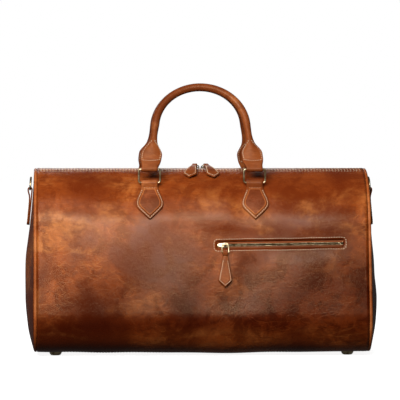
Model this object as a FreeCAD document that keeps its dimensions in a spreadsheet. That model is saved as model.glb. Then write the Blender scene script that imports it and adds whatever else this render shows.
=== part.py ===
import FreeCAD, Part
import math
import os
import Sketcher
from FreeCAD import Placement, Rotation, Vector

# Leather duffel bag. X runs along the bag, the front looks along -Y, Z is up,
# and the feet stand on Z = 0. All sizes are millimetres and degrees.

DIMENSIONS = {
    # shell: a rounded-top section carried along X
    "seam_span": 500, "shell_height": 281, "base_depth": 250, "corner_radius": 50,
    "side_lean": 11, "leather": 2, "piping_radius": 2.5, "seat_gap": 0.1,
    # end panels: two flatter steps towards a level middle
    "bulge_height": 110, "shoulder_scale": 0.8, "middle_scale": 0.45,
    "shoulder_bulge": 2.5, "end_bulge": 13,
    # floor
    "foot_height": 6, "foot_top": 10, "foot_tread": 6.5, "foot_stud": 2, "stud_fit": 0.05,
    "foot_spread": 220, "foot_track": 58, "board_length": 470, "board_width": 144,
    "board_thickness": 2.5, "washer_radius": 6, "washer_thickness": 1,
    # lining and pocket pouch
    "lining_thickness": 0.6, "lining_inset": 6.3, "lining_end_gap": 1.5, "lining_slot": 14,
    "pouch_length": 194, "pouch_drop": 90, "pouch_rise": 14, "pouch_depth": 3.2, "pouch_cloth": 0.5,
    # zips, measured each side of their centre line
    "tape_thickness": 0.6, "half_chain_gap": 0.7, "slider_web": 0.4, "plate_thickness": 1.3,
    "slide_gap": 0.3, "zip_seam": 25.5, "zip_opening": 7, "zip_length": 444, "zip_depth": 3.4,
    "half_tape": 14, "half_chain": 3, "chain_thickness": 2.4, "slider_length": 16,
    "slider_half_width": 5.5, "slider_nose_gap": 1, "tape_tail": 10, "stop_length": 2.5,
    "pocket_centre": 115.5, "pocket_drop": 33, "pocket_tilt": 0.9, "pocket_depth": 2.4,
    "pocket_length": 190, "pocket_opening": 5.5, "pocket_half_tape": 11, "pocket_half_chain": 2,
    "pocket_chain_thickness": 2, "pocket_slider_length": 17, "pocket_slider_half_width": 3.75,
    "pocket_slider_start": 9.5, "facing_thickness": 0.6,
    # wire loops and leather pulls
    "loop_wire": 0.8, "loop_width": 10, "main_loop_reach": 11, "pocket_loop_reach": 12,
    "loop_corner": 1.6, "loop_rise": 17, "pull_splay": 13, "bridge_width": 2.6, "bridge_wall": 0.9,
    "bridge_gap": 0.6, "bridge_shift": 3, "pull_leather": 1.5, "pull_gap": 0.6,
    "pull_thickness": 3.2, "pull_length": 52, "pull_widest": 42.5, "pull_half_width": 10.2,
    "pull_neck_length": 4, "pull_side_gap": 0.6, "pocket_loop_tilt": 9, "pocket_pull_swing": 1.8,
    # rectangular rings, tabs and rolled handles
    "ring_wire": 1.5, "ring_width": 32, "ring_reach": 20, "ring_corner": 3, "ring_depth": 71,
    "ring_spread": 79, "strap_width": 25, "strap_gap": 0.4, "tab_length": 62, "tab_widest": 36,
    "tab_half_width": 20.5, "handle_reach": 140, "handle_splay": 7.5, "roll_radius": 6,
    "core_radius": 3.4, "core_fit": 0.2, "roll_start": 38, "flare_height": 27,
    "flare_half_width": 15, "flare_end": 42, "strap_thickness": 6, "handle_gap": 1,
    # strap rings on the ends
    "d_wire": 1.5, "d_width": 26, "d_reach": 18, "d_corner": 3, "d_bow": 12.9,
    "d_lean": 4,
    "chape_width": 21, "chape_length": 55, "chape_lift": 3,
}

# worked out from the sheet: section tangents, fold sizes, and where pieces hang
DERIVED = {
    "lean_sin": "sin(dims.side_lean)",
    "lean_cos": "cos(dims.side_lean)",
    "floor_half": "dims.base_depth / 2 - dims.corner_radius",
    "side_offset": "derived.lean_cos * derived.floor_half + dims.corner_radius"
                   " + derived.lean_sin * (dims.foot_height + dims.corner_radius)",
    "arch_radius": "(derived.side_offset - dims.shell_height * derived.lean_sin)"
                   " / (1 - derived.lean_sin)",
    "arch_height": "dims.shell_height - derived.arch_radius",
    "beyond": "dims.seam_span + dims.shell_height",
    "panel_length": "dims.seam_span - 2 * dims.piping_radius",
    "panel_edge": "dims.seam_span / 2 - dims.piping_radius",
    "board_top": "dims.foot_height + dims.leather + dims.board_thickness",
    "lining_floor": "derived.board_top + dims.washer_thickness + 2 * dims.tape_thickness",
    "lining_corner": "dims.corner_radius - dims.lining_inset",
    "ring_bore": "dims.ring_wire + dims.strap_gap",
    "ring_sleeve": "derived.ring_bore + dims.leather",
    "ring_radius": "derived.arch_radius + dims.seat_gap + dims.leather + derived.ring_sleeve",
    "ring_angle": "acos(dims.ring_depth / derived.ring_radius)",
    "ring_height": "derived.arch_height + derived.ring_radius * sin(derived.ring_angle)",
    "degrees_per_mm": "57.29578 / derived.arch_radius",
    "handle_lean": "asin((dims.ring_depth - dims.roll_radius - dims.handle_gap)"
                   " / dims.handle_reach)",
    "bow_radius": "(dims.ring_spread * cos(dims.handle_splay)"
                  " - dims.handle_reach * sin(dims.handle_splay)) / (1 - sin(dims.handle_splay))",
    "bow_centre": "dims.handle_reach - derived.bow_radius",
    "pull_bore": "dims.loop_wire + dims.pull_gap",
    "pull_sleeve": "derived.pull_bore + dims.pull_leather",
    "pull_neck": "dims.loop_width / 2 - dims.loop_wire - dims.pull_side_gap",
    "bridge_bore": "dims.loop_wire + dims.bridge_gap",
    "main_hinge": "dims.shell_height - dims.zip_depth + dims.chain_thickness / 2"
                  " + 2 * dims.slide_gap + dims.plate_thickness + derived.bridge_bore",
    "pull_bar_y": "-dims.main_loop_reach * cos(dims.loop_rise)",
    "pull_bar_z": "derived.main_hinge + dims.main_loop_reach * sin(dims.loop_rise)",
    "pull_bar_rise": "derived.pull_bar_z - derived.arch_height",
    "pull_reach": "sqrt(derived.pull_bar_y ^ 2 + derived.pull_bar_rise ^ 2)",
    "pull_start": "atan(-derived.pull_bar_y / derived.pull_bar_rise)",
    "pull_step": "57.29578 / derived.pull_reach",
    "end_slope": "atan((dims.end_bulge - dims.shoulder_bulge) / ((dims.shell_height"
                 " - dims.leather - dims.bulge_height) * (dims.shoulder_scale - dims.middle_scale)))",
    "d_bore": "dims.d_wire + dims.strap_gap",
    "d_sleeve": "derived.d_bore + dims.leather",
}

doc = FreeCAD.newDocument("duffel_bag")
sheet = doc.addObject("Spreadsheet::Sheet", "dims")
for row, (alias, number) in enumerate(DIMENSIONS.items(), 1):
    sheet.set(f"A{row}", alias)
    sheet.set(f"B{row}", str(number))
    sheet.setAlias(f"B{row}", alias)
derived = doc.addObject("App::VarSet", "derived")
for name in DERIVED:
    derived.addProperty("App::PropertyFloat", name)
doc.recompute()
for name, formula in DERIVED.items():
    derived.setExpression(name, formula)
    doc.recompute()

NODES = []


def value(formula):
    """The number that a formula on the sheet gives now."""
    return float(sheet.evalExpression(str(formula)))


def node(piece, name):
    """Marks a finished sub-part, which is written to a file of this name."""
    piece.Label = name
    NODES.append(piece)
    return piece


def turn(axis, degrees):
    return Placement(Vector(), Rotation(axis, degrees))


def shift(x=0, y=0, z=0):
    return Placement(Vector(value(x), value(y), value(z)), Rotation())


X_AXIS, Y_AXIS, Z_AXIS = Vector(1, 0, 0), Vector(0, 1, 0), Vector(0, 0, 1)
FRONT, BACK = Placement(), turn(Z_AXIS, 180)


# ---- sketch and feature helpers ----

def new_body(name, place=Placement()):
    body = doc.addObject("PartDesign::Body", name)
    body.Placement = place
    return body


def new_sketch(body, role, offset="0", turned=0):
    """A sketch on one of the body's own origin planes, moved along its normal."""
    sketch = body.newObject("Sketcher::SketchObject", "sketch")
    plane = next(f for f in body.Origin.OriginFeatures if f.Role == role)
    sketch.AttachmentSupport = (plane, [""])
    sketch.MapMode = "FlatFace"
    sketch.AttachmentOffset = turn(Z_AXIS, turned)
    sketch.setExpression("AttachmentOffset.Base.z", str(offset))
    return sketch


def bind(sketch, kind, *places, formula):
    """Adds a dimension to a sketch and ties it to the sheet."""
    index = sketch.addConstraint(Sketcher.Constraint(kind, *places, value(formula)))
    sketch.setExpression(f"Constraints[{index}]", str(formula))


def fix_point(sketch, geometry, point, x, y):
    bind(sketch, "DistanceX", -1, 1, geometry, point, formula=x)
    bind(sketch, "DistanceY", -1, 1, geometry, point, formula=y)


def polygon(sketch, corners):
    """A closed outline of straight runs whose corners are pairs of formulas."""
    points = [Vector(value(x), value(y), 0) for x, y in corners]
    first = sketch.GeometryCount
    for start, end in zip(points, points[1:] + points[:1]):
        sketch.addGeometry(Part.LineSegment(start, end), False)
    for i, (x, y) in enumerate(corners):
        before = first + (i - 1) % len(corners)
        sketch.addConstraint(Sketcher.Constraint("Coincident", before, 2, first + i, 1))
        fix_point(sketch, first + i, 1, x, y)


def rectangle(sketch, x0, y0, x1, y1):
    polygon(sketch, [(x0, y0), (x1, y0), (x1, y1), (x0, y1)])


def circle(sketch, x, y, radius):
    centre = Vector(value(x), value(y), 0)
    index = sketch.addGeometry(Part.Circle(centre, Z_AXIS, value(radius)), False)
    fix_point(sketch, index, 3, x, y)
    bind(sketch, "Radius", index, formula=radius)


def arc(sketch, x, y, radius, start, end, centred=True):
    """An arc about a point, from one angle to another, tied by centre and radius."""
    centre = Vector(value(x), value(y), 0)
    whole = Part.Circle(centre, Z_AXIS, value(radius))
    index = sketch.addGeometry(
        Part.ArcOfCircle(whole, math.radians(start), math.radians(end)), False)
    if centred:
        fix_point(sketch, index, 3, x, y)
    bind(sketch, "Radius", index, formula=radius)
    return index


def line(sketch, start, end):
    return sketch.addGeometry(Part.LineSegment(Vector(*start, 0), Vector(*end, 0)), False)


def chain_tangent(sketch, indices):
    """Joins each piece of a path to the next, smoothly."""
    for this, following in zip(indices, indices[1:]):
        sketch.addConstraint(Sketcher.Constraint("Tangent", this, 2, following, 1))


def tombstone(sketch, arch_z, arch_radius, corner_y, corner_z, corner_radius):
    """Flat floor, two bottom corners, leaning sides and a round top, all tangent."""
    top, roof, half, low, corner = map(
        value, (arch_z, arch_radius, corner_y, corner_z, corner_radius))
    lean = value("dims.side_lean")
    out = (math.cos(math.radians(lean)), math.sin(math.radians(lean)))
    foot = (half + corner * out[0], low + corner * out[1])
    crown = (roof * out[0], top + roof * out[1])
    floor = line(sketch, (-half, low - corner), (half, low - corner))
    right = arc(sketch, corner_y, corner_z, corner_radius, -90, lean)
    rise = line(sketch, foot, crown)
    arch = arc(sketch, 0, arch_z, arch_radius, lean, 180 - lean)
    fall = line(sketch, (-crown[0], crown[1]), (-foot[0], foot[1]))
    left = arc(sketch, f"-({corner_y})", corner_z, corner_radius, 180 - lean, 270)
    chain_tangent(sketch, [floor, right, rise, arch, fall, left, floor])


def shell_outline(sketch, inset, scale="1"):
    """The bag's section, set in from the leather's outer face, and scaled for the ends."""
    focus = "dims.bulge_height"
    tombstone(
        sketch,
        f"{focus} + (derived.arch_height - {focus}) * {scale}",
        f"(derived.arch_radius - ({inset})) * {scale}",
        f"derived.floor_half * {scale}",
        f"{focus} + (dims.foot_height + dims.corner_radius - {focus}) * {scale}",
        f"(dims.corner_radius - ({inset})) * {scale}",
    )


def feature(body, kind, profile):
    made = body.newObject("PartDesign::" + kind, kind)
    made.Profile = profile
    return made


def pad(body, profile, length):
    """Thickens a sketch equally to both sides of its plane."""
    made = feature(body, "Pad", profile)
    made.Midplane = True
    made.setExpression("Length", str(length))
    doc.recompute()


def pocket(body, profile, length="4 * derived.beyond"):
    """Cuts a sketch equally to both sides of its plane, and checks that it did."""
    before = body.Shape.Volume
    made = feature(body, "Pocket", profile)
    made.Midplane = True
    made.setExpression("Length", str(length))
    doc.recompute()
    if not body.Shape.Volume < before:
        raise ValueError(body.Name + ": a pocket cut nothing")


def keep_only(body, role, corners):
    """Cuts away all of a body outside one outline seen along a plane's normal."""
    sketch = new_sketch(body, role)
    edge = "derived.beyond"
    rectangle(sketch, f"-{edge}", f"-{edge}", edge, edge)
    polygon(sketch, corners)
    pocket(body, sketch)


def pipe(body, kind, path, role, offset, x, y, radius):
    """Carries a round section along a path sketch, starting from a plane at its start."""
    section = new_sketch(body, role, offset)
    circle(section, x, y, radius)
    made = feature(body, kind, section)
    made.Spine = (path, [f"Edge{i + 1}" for i in range(path.GeometryCount)])
    doc.recompute()


def block(name, length, width, depth, frame, x="0", y="0", z="0"):
    """A block whose middle is at x, y and z in a frame."""
    box = doc.addObject("Part::Box", name)
    for side, formula in (("Length", length), ("Width", width), ("Height", depth)):
        box.setExpression(side, formula)
    box.Placement = frame * shift(
        f"{x} - ({length}) / 2", f"{y} - ({width}) / 2", f"{z} - ({depth}) / 2")
    return box


def cylinder(name, radius, length, x, y, z):
    made = doc.addObject("Part::Cylinder", name)
    made.setExpression("Radius", radius)
    made.setExpression("Height", length)
    made.Placement = shift(x, y, z)
    return made


def joined(name, shapes):
    made = doc.addObject("Part::MultiFuse", name)
    made.Shapes = shapes
    return made


def group(name, shapes):
    made = doc.addObject("Part::Compound", name)
    made.Links = shapes
    return made


def cut(name, base, tool):
    made = doc.addObject("Part::Cut", name)
    made.Base, made.Tool = base, tool
    return made


# ---- frames that pieces are placed in ----

def pocket_frame():
    """On the straight front face: x along the pocket zip, y up the face, z outwards."""
    lean = value("dims.side_lean")
    drop = value("dims.pocket_drop")
    y = -value("derived.arch_radius * derived.lean_cos") - drop * value("derived.lean_sin")
    z = value("derived.arch_height + derived.arch_radius * derived.lean_sin"
              " - dims.pocket_drop * derived.lean_cos")
    place = Placement(Vector(value("dims.pocket_centre"), y, z), Rotation(X_AXIS, 90 - lean))
    return place * turn(Z_AXIS, value("dims.pocket_tilt"))


POCKET_FACE = pocket_frame()
POCKET_ZIP = POCKET_FACE * shift(z="-dims.pocket_depth")
MAIN_ZIP = shift(z="dims.shell_height - dims.zip_depth")


# ---- shell: outer leather panels ----

def shell_strip(name, outer, inner, length, kept):
    """A layer of the shell's section, carried along X and trimmed to one stretch of it."""
    body = new_body(name)
    profile = new_sketch(body, "YZ_Plane")
    shell_outline(profile, outer)
    shell_outline(profile, inner)
    pad(body, profile, length)
    keep_only(body, "YZ_Plane", kept)
    return body


def side_panel(name, side):
    """Runs from the bottom seam, round the corner and up over the shoulder to the zip."""
    far = f"{side} * dims.base_depth"
    under = f"{side} * derived.floor_half"
    seam = f"{side} * dims.zip_seam"
    top = "2 * dims.shell_height"
    kept = [(far, "-1"), (under, "-1"), (under, "dims.corner_radius"),
            (seam, "dims.corner_radius"), (seam, top), (far, top)]
    return shell_strip(name, "0", "dims.leather", "derived.panel_length", kept)


def placket(name, side):
    """The strip of leather between a panel's top seam and the zip."""
    seam, edge = f"{side} * dims.zip_seam", f"{side} * dims.zip_opening"
    low, top = "dims.corner_radius", "2 * dims.shell_height"
    kept = [(seam, low), (edge, low), (edge, top), (seam, top)]
    return shell_strip(name, "0", "dims.leather", "derived.panel_length", kept)


slot = block("pocket_slot", "dims.pocket_length", "2 * dims.pocket_opening",
             "6 * dims.leather", POCKET_FACE)
node(cut("front_panel", side_panel("front_blank", -1), slot), "front_panel")
node(side_panel("back_panel", 1), "back_panel")
node(placket("zip_placket_front", -1), "zip_placket_front")
node(placket("zip_placket_back", 1), "zip_placket_back")

FOOT_PLACES = [(x, y) for x in (-1, 1) for y in (-1, 1)]


def pierced_plate(name, length, width, thickness, bottom):
    """A flat plate with four holes for the feet's studs."""
    body = new_body(name)
    outline = new_sketch(body, "XY_Plane", f"{bottom} + ({thickness}) / 2")
    rectangle(outline, f"-({length}) / 2", f"-({width}) / 2", f"({length}) / 2", f"({width}) / 2")
    for x, y in FOOT_PLACES:
        circle(outline, f"{x} * dims.foot_spread", f"{y} * dims.foot_track",
               "dims.foot_stud + dims.stud_fit")
    pad(body, outline, thickness)
    return body


node(pierced_plate("bottom_panel", "derived.panel_length", "2 * derived.floor_half",
                   "dims.leather", "dims.foot_height"), "bottom_panel")
node(pierced_plate("base_board", "dims.board_length", "dims.board_width",
                   "dims.board_thickness", "dims.foot_height + dims.leather"), "base_board")


def end_panel(name, side):
    """A shallow leather dish: the section shrinks in two steps to a level middle."""
    body = new_body(name, turn(Z_AXIS, 0 if side > 0 else 180))
    rim = "dims.seam_span / 2 + dims.piping_radius"
    for kind, inset, sunk in (("AdditiveLoft", "dims.leather", "0"),
                              ("SubtractiveLoft", "2 * dims.leather", "dims.leather")):
        steps = [("1", rim), ("dims.shoulder_scale", f"{rim} + dims.shoulder_bulge - {sunk}"),
                 ("dims.middle_scale", f"{rim} + dims.end_bulge - {sunk}")]
        sections = []
        for scale, place in steps:
            sections.append(new_sketch(body, "YZ_Plane", place))
            shell_outline(sections[-1], inset, scale)
        doc.recompute()
        loft = feature(body, kind, sections[0])
        loft.Sections = sections[1:]
        loft.Ruled = True
        doc.recompute()
    return body


def piping(name, side):
    """The covered cord that closes the seam between the panels and an end panel."""
    body = new_body(name)
    path = new_sketch(body, "YZ_Plane", f"{side} * dims.seam_span / 2")
    shell_outline(path, "dims.piping_radius")
    pipe(body, "AdditivePipe", path, "XZ_Plane", "derived.floor_half",
         f"{side} * dims.seam_span / 2", "dims.foot_height + dims.piping_radius",
         "dims.piping_radius")
    return body


for side, word in ((-1, "left"), (1, "right")):
    node(end_panel(f"end_panel_{word}", side), f"end_panel_{word}")
    node(piping(f"piping_{word}", side), f"piping_{word}")


# ---- feet: studded cones through the bottom panel and the board, with washers inside ----

def foot(name, x, y):
    cone = doc.addObject("Part::Cone", name + "_cone")
    cone.setExpression("Radius1", "dims.foot_tread")
    cone.setExpression("Radius2", "dims.foot_top")
    cone.setExpression("Height", "dims.foot_height")
    cone.Placement = shift(x, y)
    stud = cylinder(name + "_stud", "dims.foot_stud",
                    "derived.board_top + dims.washer_thickness", x, y, "0")
    return joined(name, [cone, stud])


def washer(x, y):
    plate = cylinder("plate", "dims.washer_radius", "dims.washer_thickness",
                     x, y, "derived.board_top")
    hole = cylinder("hole", "dims.foot_stud + dims.stud_fit", "2 * dims.shell_height", x, y, "0")
    return cut("washer", plate, hole)


washers = []
for x, y in FOOT_PLACES:
    name = f"foot_{'front' if y < 0 else 'back'}_{'left' if x < 0 else 'right'}"
    spot = (f"{x} * dims.foot_spread", f"{y} * dims.foot_track")
    node(foot(name, *spot), name)
    washers.append(washer(*spot))
node(group("foot_washers", washers), "foot_washers")


# ---- lining: a cloth box with its own floor, open under the zip ----

def lining_outline(sketch, deeper):
    """The section inside the leather; its floor clears the washers."""
    corner = f"(derived.lining_corner - ({deeper}))"
    low = "(derived.lining_floor + derived.lining_corner)"
    half = (f"(derived.side_offset - dims.lining_inset - derived.lining_corner"
            f" - derived.lean_sin * {low}) / derived.lean_cos")
    arch = f"derived.arch_radius - dims.lining_inset - ({deeper})"
    tombstone(sketch, "derived.arch_height", arch, half, low, corner)


lining = new_body("lining")
outside = new_sketch(lining, "YZ_Plane")
lining_outline(outside, "0")
pad(lining, outside, "derived.panel_length - 2 * dims.lining_end_gap")
inside = new_sketch(lining, "YZ_Plane")
lining_outline(inside, "dims.lining_thickness")
pocket(lining, inside,
       "derived.panel_length - 2 * dims.lining_end_gap - 2 * dims.lining_thickness")
mouth = new_sketch(lining, "YZ_Plane")
rectangle(mouth, "-dims.lining_slot", "dims.shell_height - 3 * dims.lining_inset",
          "dims.lining_slot", "2 * dims.shell_height")
pocket(lining, mouth, "dims.zip_length")
node(lining, "lining")


# ---- zips: two tapes, two rows of teeth, end stops and sliders ----

def zip_rows(words, prefix, frame, length, half_tape, half_chain, thickness):
    """Tape and teeth on both sides of a zip's centre line."""
    for side, word in zip((-1, 1), words):
        tape_y = f"{side} * ({half_tape} + {half_chain}) / 2"
        teeth_y = f"{side} * ({half_chain} + dims.half_chain_gap) / 2"
        node(block(f"{prefix}_tape_{word}", f"{length} + 2 * dims.tape_tail",
                   f"{half_tape} - {half_chain}", "dims.tape_thickness", frame, y=tape_y),
             f"{prefix}_tape_{word}")
        node(block(f"{prefix}_teeth_{word}", length, f"{half_chain} - dims.half_chain_gap",
                   thickness, frame, y=teeth_y), f"{prefix}_teeth_{word}")


def zip_stops(name, frame, length, half_chain, thickness):
    """The small metal blocks that end a zip's teeth."""
    ends = [block("stop", "dims.stop_length", f"2 * {half_chain}", thickness, frame,
                  x=f"{side} * ({length} + dims.stop_length) / 2") for side in (-1, 1)]
    return node(group(name, ends), name)


def slider(name, frame, x, loop_x, length, half_width, thickness):
    """Two plates joined by a thin web between the rows, and a bridge for the wire loop."""
    body = new_body(name, frame * shift(x))
    under = f"({thickness} / 2 + dims.slide_gap)"
    over = f"({under} + dims.plate_thickness)"
    half, web = half_width, "dims.slider_web"
    profile = new_sketch(body, "YZ_Plane")
    polygon(profile, [
        (f"-{half}", under), (f"-{half}", over), (half, over), (half, under),
        (web, under), (web, f"-{under}"), (half, f"-{under}"), (half, f"-{over}"),
        (f"-{half}", f"-{over}"), (f"-{half}", f"-{under}"), (f"-{web}", f"-{under}"),
        (f"-{web}", under)])
    pad(body, profile, length)
    bridge = new_sketch(body, "YZ_Plane", loop_x)
    reach = "(derived.bridge_bore + dims.bridge_wall)"
    hole = f"{over} + derived.bridge_bore + dims.slide_gap"
    rectangle(bridge, f"-{reach}", over, reach, f"{hole} + {reach}")
    circle(bridge, "0", hole, "derived.bridge_bore")
    pad(body, bridge, "dims.bridge_width")
    return node(body, name)


def loop_hinge(thickness):
    """How far the hole in a slider's bridge stands above the tape's middle."""
    return (f"({thickness} / 2 + 2 * dims.slide_gap + dims.plate_thickness"
            f" + derived.bridge_bore)")


MAIN = ("dims.zip_length", "dims.half_tape", "dims.half_chain", "dims.chain_thickness")
SMALL = ("dims.pocket_length", "dims.pocket_half_tape", "dims.pocket_half_chain",
         "dims.pocket_chain_thickness")
zip_rows(("front", "back"), "main_zip", MAIN_ZIP, *MAIN)
zip_stops("main_zip_stops", MAIN_ZIP, MAIN[0], MAIN[2], MAIN[3])
zip_rows(("lower", "upper"), "pocket_zip", POCKET_ZIP, *SMALL)

tail = "(derived.panel_edge - dims.zip_length / 2 - 2 * dims.stop_length)"
for side, word in ((-1, "left"), (1, "right")):
    node(block(f"zip_end_{word}", tail, "2 * dims.zip_opening", "dims.leather", FRONT,
               x=f"{side} * (derived.panel_edge - {tail} / 2)",
               z="dims.shell_height - 0.65 * dims.leather"), f"zip_end_{word}")

facing_width = "(dims.pocket_opening - dims.pocket_half_chain - 4 * dims.seat_gap)"
node(block("pocket_facing", "dims.pocket_length - 2 * dims.seat_gap", facing_width,
           "dims.facing_thickness", POCKET_FACE,
           y=f"-dims.pocket_opening + dims.seat_gap + {facing_width} / 2",
           z="-dims.leather + dims.facing_thickness / 2"), "pocket_facing")


def pocket_pouch():
    """A flat cloth bag behind the slot, open where the small zip is sewn in."""
    face = "(-dims.pocket_depth - dims.tape_thickness / 2 - dims.seat_gap)"
    tall = "(dims.pouch_drop + dims.pouch_rise)"
    middle = "(dims.pouch_rise - dims.pouch_drop) / 2"
    outer = block("pouch_outer", "dims.pouch_length", tall, "dims.pouch_depth", POCKET_FACE,
                  y=middle, z=f"{face} - dims.pouch_depth / 2")
    hollow = block("pouch_hollow", "dims.pouch_length - 2 * dims.pouch_cloth",
                   f"{tall} - 2 * dims.pouch_cloth", "dims.pouch_depth - 2 * dims.pouch_cloth",
                   POCKET_FACE, y=middle, z=f"{face} - dims.pouch_depth / 2")
    window = block("pouch_window", "dims.pocket_length", "2 * dims.half_tape - 4 * dims.half_chain",
                   "dims.pouch_depth", POCKET_FACE, z=face)
    return cut("pocket_pouch", outer, joined("pouch_space", [hollow, window]))


node(pocket_pouch(), "pocket_pouch")


# ---- wire loops, rings and D-rings: round wire bent to a frame on its lower bar ----

def wire_frame(name, place, width, reach, low_corner, top_corner, wire):
    """A closed frame whose lower bar lies on x through the frame's origin."""
    body = new_body(name, place)
    path = new_sketch(body, "XZ_Plane")
    half, tall, low, top = (value(f"({width}) / 2"), value(reach), value(low_corner),
                            value(top_corner))
    half_width, low_x, top_x = f"({width}) / 2", f"({width}) / 2 - {low_corner}", \
        f"({width}) / 2 - {top_corner}"
    start = line(path, (0, 0), (half - low, 0))
    bends = [(low_x, low_corner, low_corner, -90, 0),
             (top_x, f"{reach} - {top_corner}", top_corner, 0, 90),
             (f"-({top_x})", f"{reach} - {top_corner}", top_corner, 90, 180),
             (f"-({low_x})", low_corner, low_corner, 180, 270)]
    runs = [((half, low), (half, tall - top)), ((half - top, tall), (top - half, tall)),
            ((-half, tall - top), (-half, low)), ((low - half, 0), (0, 0))]
    order = [start]
    for (x, y, radius, begin, end), run in zip(bends, runs):
        order.append(arc(path, x, y, radius, begin, end))
        order.append(line(path, *run))
    chain_tangent(path, order)
    path.addConstraint(Sketcher.Constraint("Coincident", order[-1], 2, start, 1))
    path.addConstraint(Sketcher.Constraint("PointOnObject", start, 1, -2))
    pipe(body, "AdditivePipe", path, "YZ_Plane", "0", "0", "0", wire)
    return node(body, name)


def sleeve(body, centre, bore, wall, width, offset="0"):
    """A fold of leather round a bar along x: a tube with the bar's hole through it."""
    y, z = centre
    outer = new_sketch(body, "YZ_Plane", offset)
    circle(outer, y, z, f"{bore} + {wall}")
    pad(body, outer, width)
    return offset, y, z, bore


def bore_out(body, made, width):
    offset, y, z, bore = made
    hole = new_sketch(body, "YZ_Plane", offset)
    circle(hole, y, z, bore)
    pocket(body, hole, f"2 * ({width})")


def band(sketch, centre_z, inner, outer, high, low, tie):
    """A curved strip about (0, centre_z) on the front side, between two angles from
    vertical. Its ends are tied by x or by y, whichever moves more along the strip."""
    lines = []
    for angle in (high, low):
        ends = [(-value(f"({r}) * sin({angle})"), value(f"{centre_z} + ({r}) * cos({angle})"))
                for r in (inner, outer)]
        lines.append(line(sketch, *ends))
    arcs = [arc(sketch, 0, centre_z, radius, 90 + value(high), 90 + value(low))
            for radius in (inner, outer)]
    for ray, angle, mark in ((lines[0], high, 1), (lines[1], low, 2)):
        for end, curve, radius in ((1, arcs[0], inner), (2, arcs[1], outer)):
            sketch.addConstraint(Sketcher.Constraint("Coincident", ray, end, curve, mark))
            if tie == "x":
                bind(sketch, "DistanceX", -1, 1, ray, end, formula=f"-({radius}) * sin({angle})")
            else:
                bind(sketch, "DistanceY", -1, 1, ray, end,
                     formula=f"{centre_z} + ({radius}) * cos({angle})")


def handle_tab(name, frame, side):
    """Shield of doubled leather on the shoulder, folded at its top round a ring's bar."""
    body = new_body(name, frame * shift(f"{side} * dims.ring_spread"))
    inner = "(derived.arch_radius + dims.seat_gap)"
    outer = f"({inner} + 2 * dims.leather)"
    high, low = "(90 - derived.ring_angle)", \
        "(90 - derived.ring_angle + dims.tab_length * derived.degrees_per_mm)"
    profile = new_sketch(body, "YZ_Plane")
    band(profile, "derived.arch_height", inner, outer, high, low, "y")
    pad(body, profile, "2 * dims.tab_half_width")
    neck, wide = "dims.strap_width / 2", "dims.tab_half_width"
    waist_z = (f"derived.arch_height + {outer}"
               " * sin(derived.ring_angle - dims.tab_widest * derived.degrees_per_mm)")
    tip_z = f"derived.arch_height + {inner} * cos({low})"
    top_z = "derived.ring_height + 2 * derived.ring_sleeve"
    keep_only(body, "XZ_Plane", [(f"-{neck}", top_z), (f"-{wide}", waist_z), ("0", tip_z),
                                 (wide, waist_z), (neck, top_z)])
    fold = sleeve(body, ("-dims.ring_depth", "derived.ring_height"), "derived.ring_bore",
                  "dims.leather", "dims.strap_width")
    bore_out(body, fold, "dims.strap_width")
    return node(body, name)


RINGS = {"front": shift(y="-dims.ring_depth", z="derived.ring_height")}
RINGS["back"] = BACK * RINGS["front"]


def bow_path(body):
    """The roll's centre line: two legs that spread downwards and a round bow."""
    path = new_sketch(body, "XZ_Plane")
    splay, radius = value("dims.handle_splay"), value("derived.bow_radius")
    centre = value("derived.bow_centre")
    foot_x = "dims.ring_spread - dims.roll_start * tan(dims.handle_splay)"
    out = (math.cos(math.radians(splay)), math.sin(math.radians(splay)))
    foot = (value(foot_x), value("dims.roll_start"))
    knee = (radius * out[0], centre + radius * out[1])
    rise = line(path, foot, knee)
    bow = arc(path, 0, "derived.bow_centre", "derived.bow_radius", splay, 180 - splay)
    fall = line(path, (-knee[0], knee[1]), (-foot[0], foot[1]))
    path.addConstraint(Sketcher.Constraint("Tangent", rise, 2, bow, 1))
    path.addConstraint(Sketcher.Constraint("Tangent", bow, 2, fall, 1))
    fix_point(path, rise, 1, foot_x, "dims.roll_start")
    fix_point(path, fall, 2, f"-({foot_x})", "dims.roll_start")
    return path, foot_x


def handle(word, frame):
    """A rolled leather handle over a rope core; each end is a flat strap round a ring."""
    place = frame * shift(z="dims.ring_reach") * turn(X_AXIS, -value("derived.handle_lean"))
    roll = new_body(f"{word}_handle", place)
    path, foot_x = bow_path(roll)
    pipe(roll, "AdditivePipe", path, "XY_Plane", "dims.roll_start", foot_x, "0",
         "dims.roll_radius")
    folds = []
    for side in (-1, 1):
        drift = "tan(dims.handle_splay)"
        def across(height, half):
            return [(f"{side} * (dims.ring_spread - {height} * {drift}) + {hand} * {half}", height)
                    for hand in (-1, 1)]
        low, mid = across("derived.ring_bore", "dims.strap_width / 2"), \
            across("dims.flare_height", "dims.flare_half_width")
        top = across("dims.flare_end", "dims.roll_radius")
        flare = new_sketch(roll, "XZ_Plane")
        polygon(flare, [low[0], mid[0], top[0], top[1], mid[1], low[1]])
        pad(roll, flare, "dims.strap_thickness")
        folds.append(sleeve(roll, ("0", "0"), "derived.ring_bore", "dims.leather",
                            "dims.strap_width", f"{side} * dims.ring_spread"))
    for fold in folds:
        bore_out(roll, fold, "dims.strap_width")
    pipe(roll, "SubtractivePipe", path, "XY_Plane", "dims.roll_start", foot_x, "0",
         "dims.core_radius + dims.core_fit")
    node(roll, f"{word}_handle")
    core = new_body(f"{word}_handle_core", place)
    path, foot_x = bow_path(core)
    pipe(core, "AdditivePipe", path, "XY_Plane", "dims.roll_start", foot_x, "0",
         "dims.core_radius")
    node(core, f"{word}_handle_core")


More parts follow.
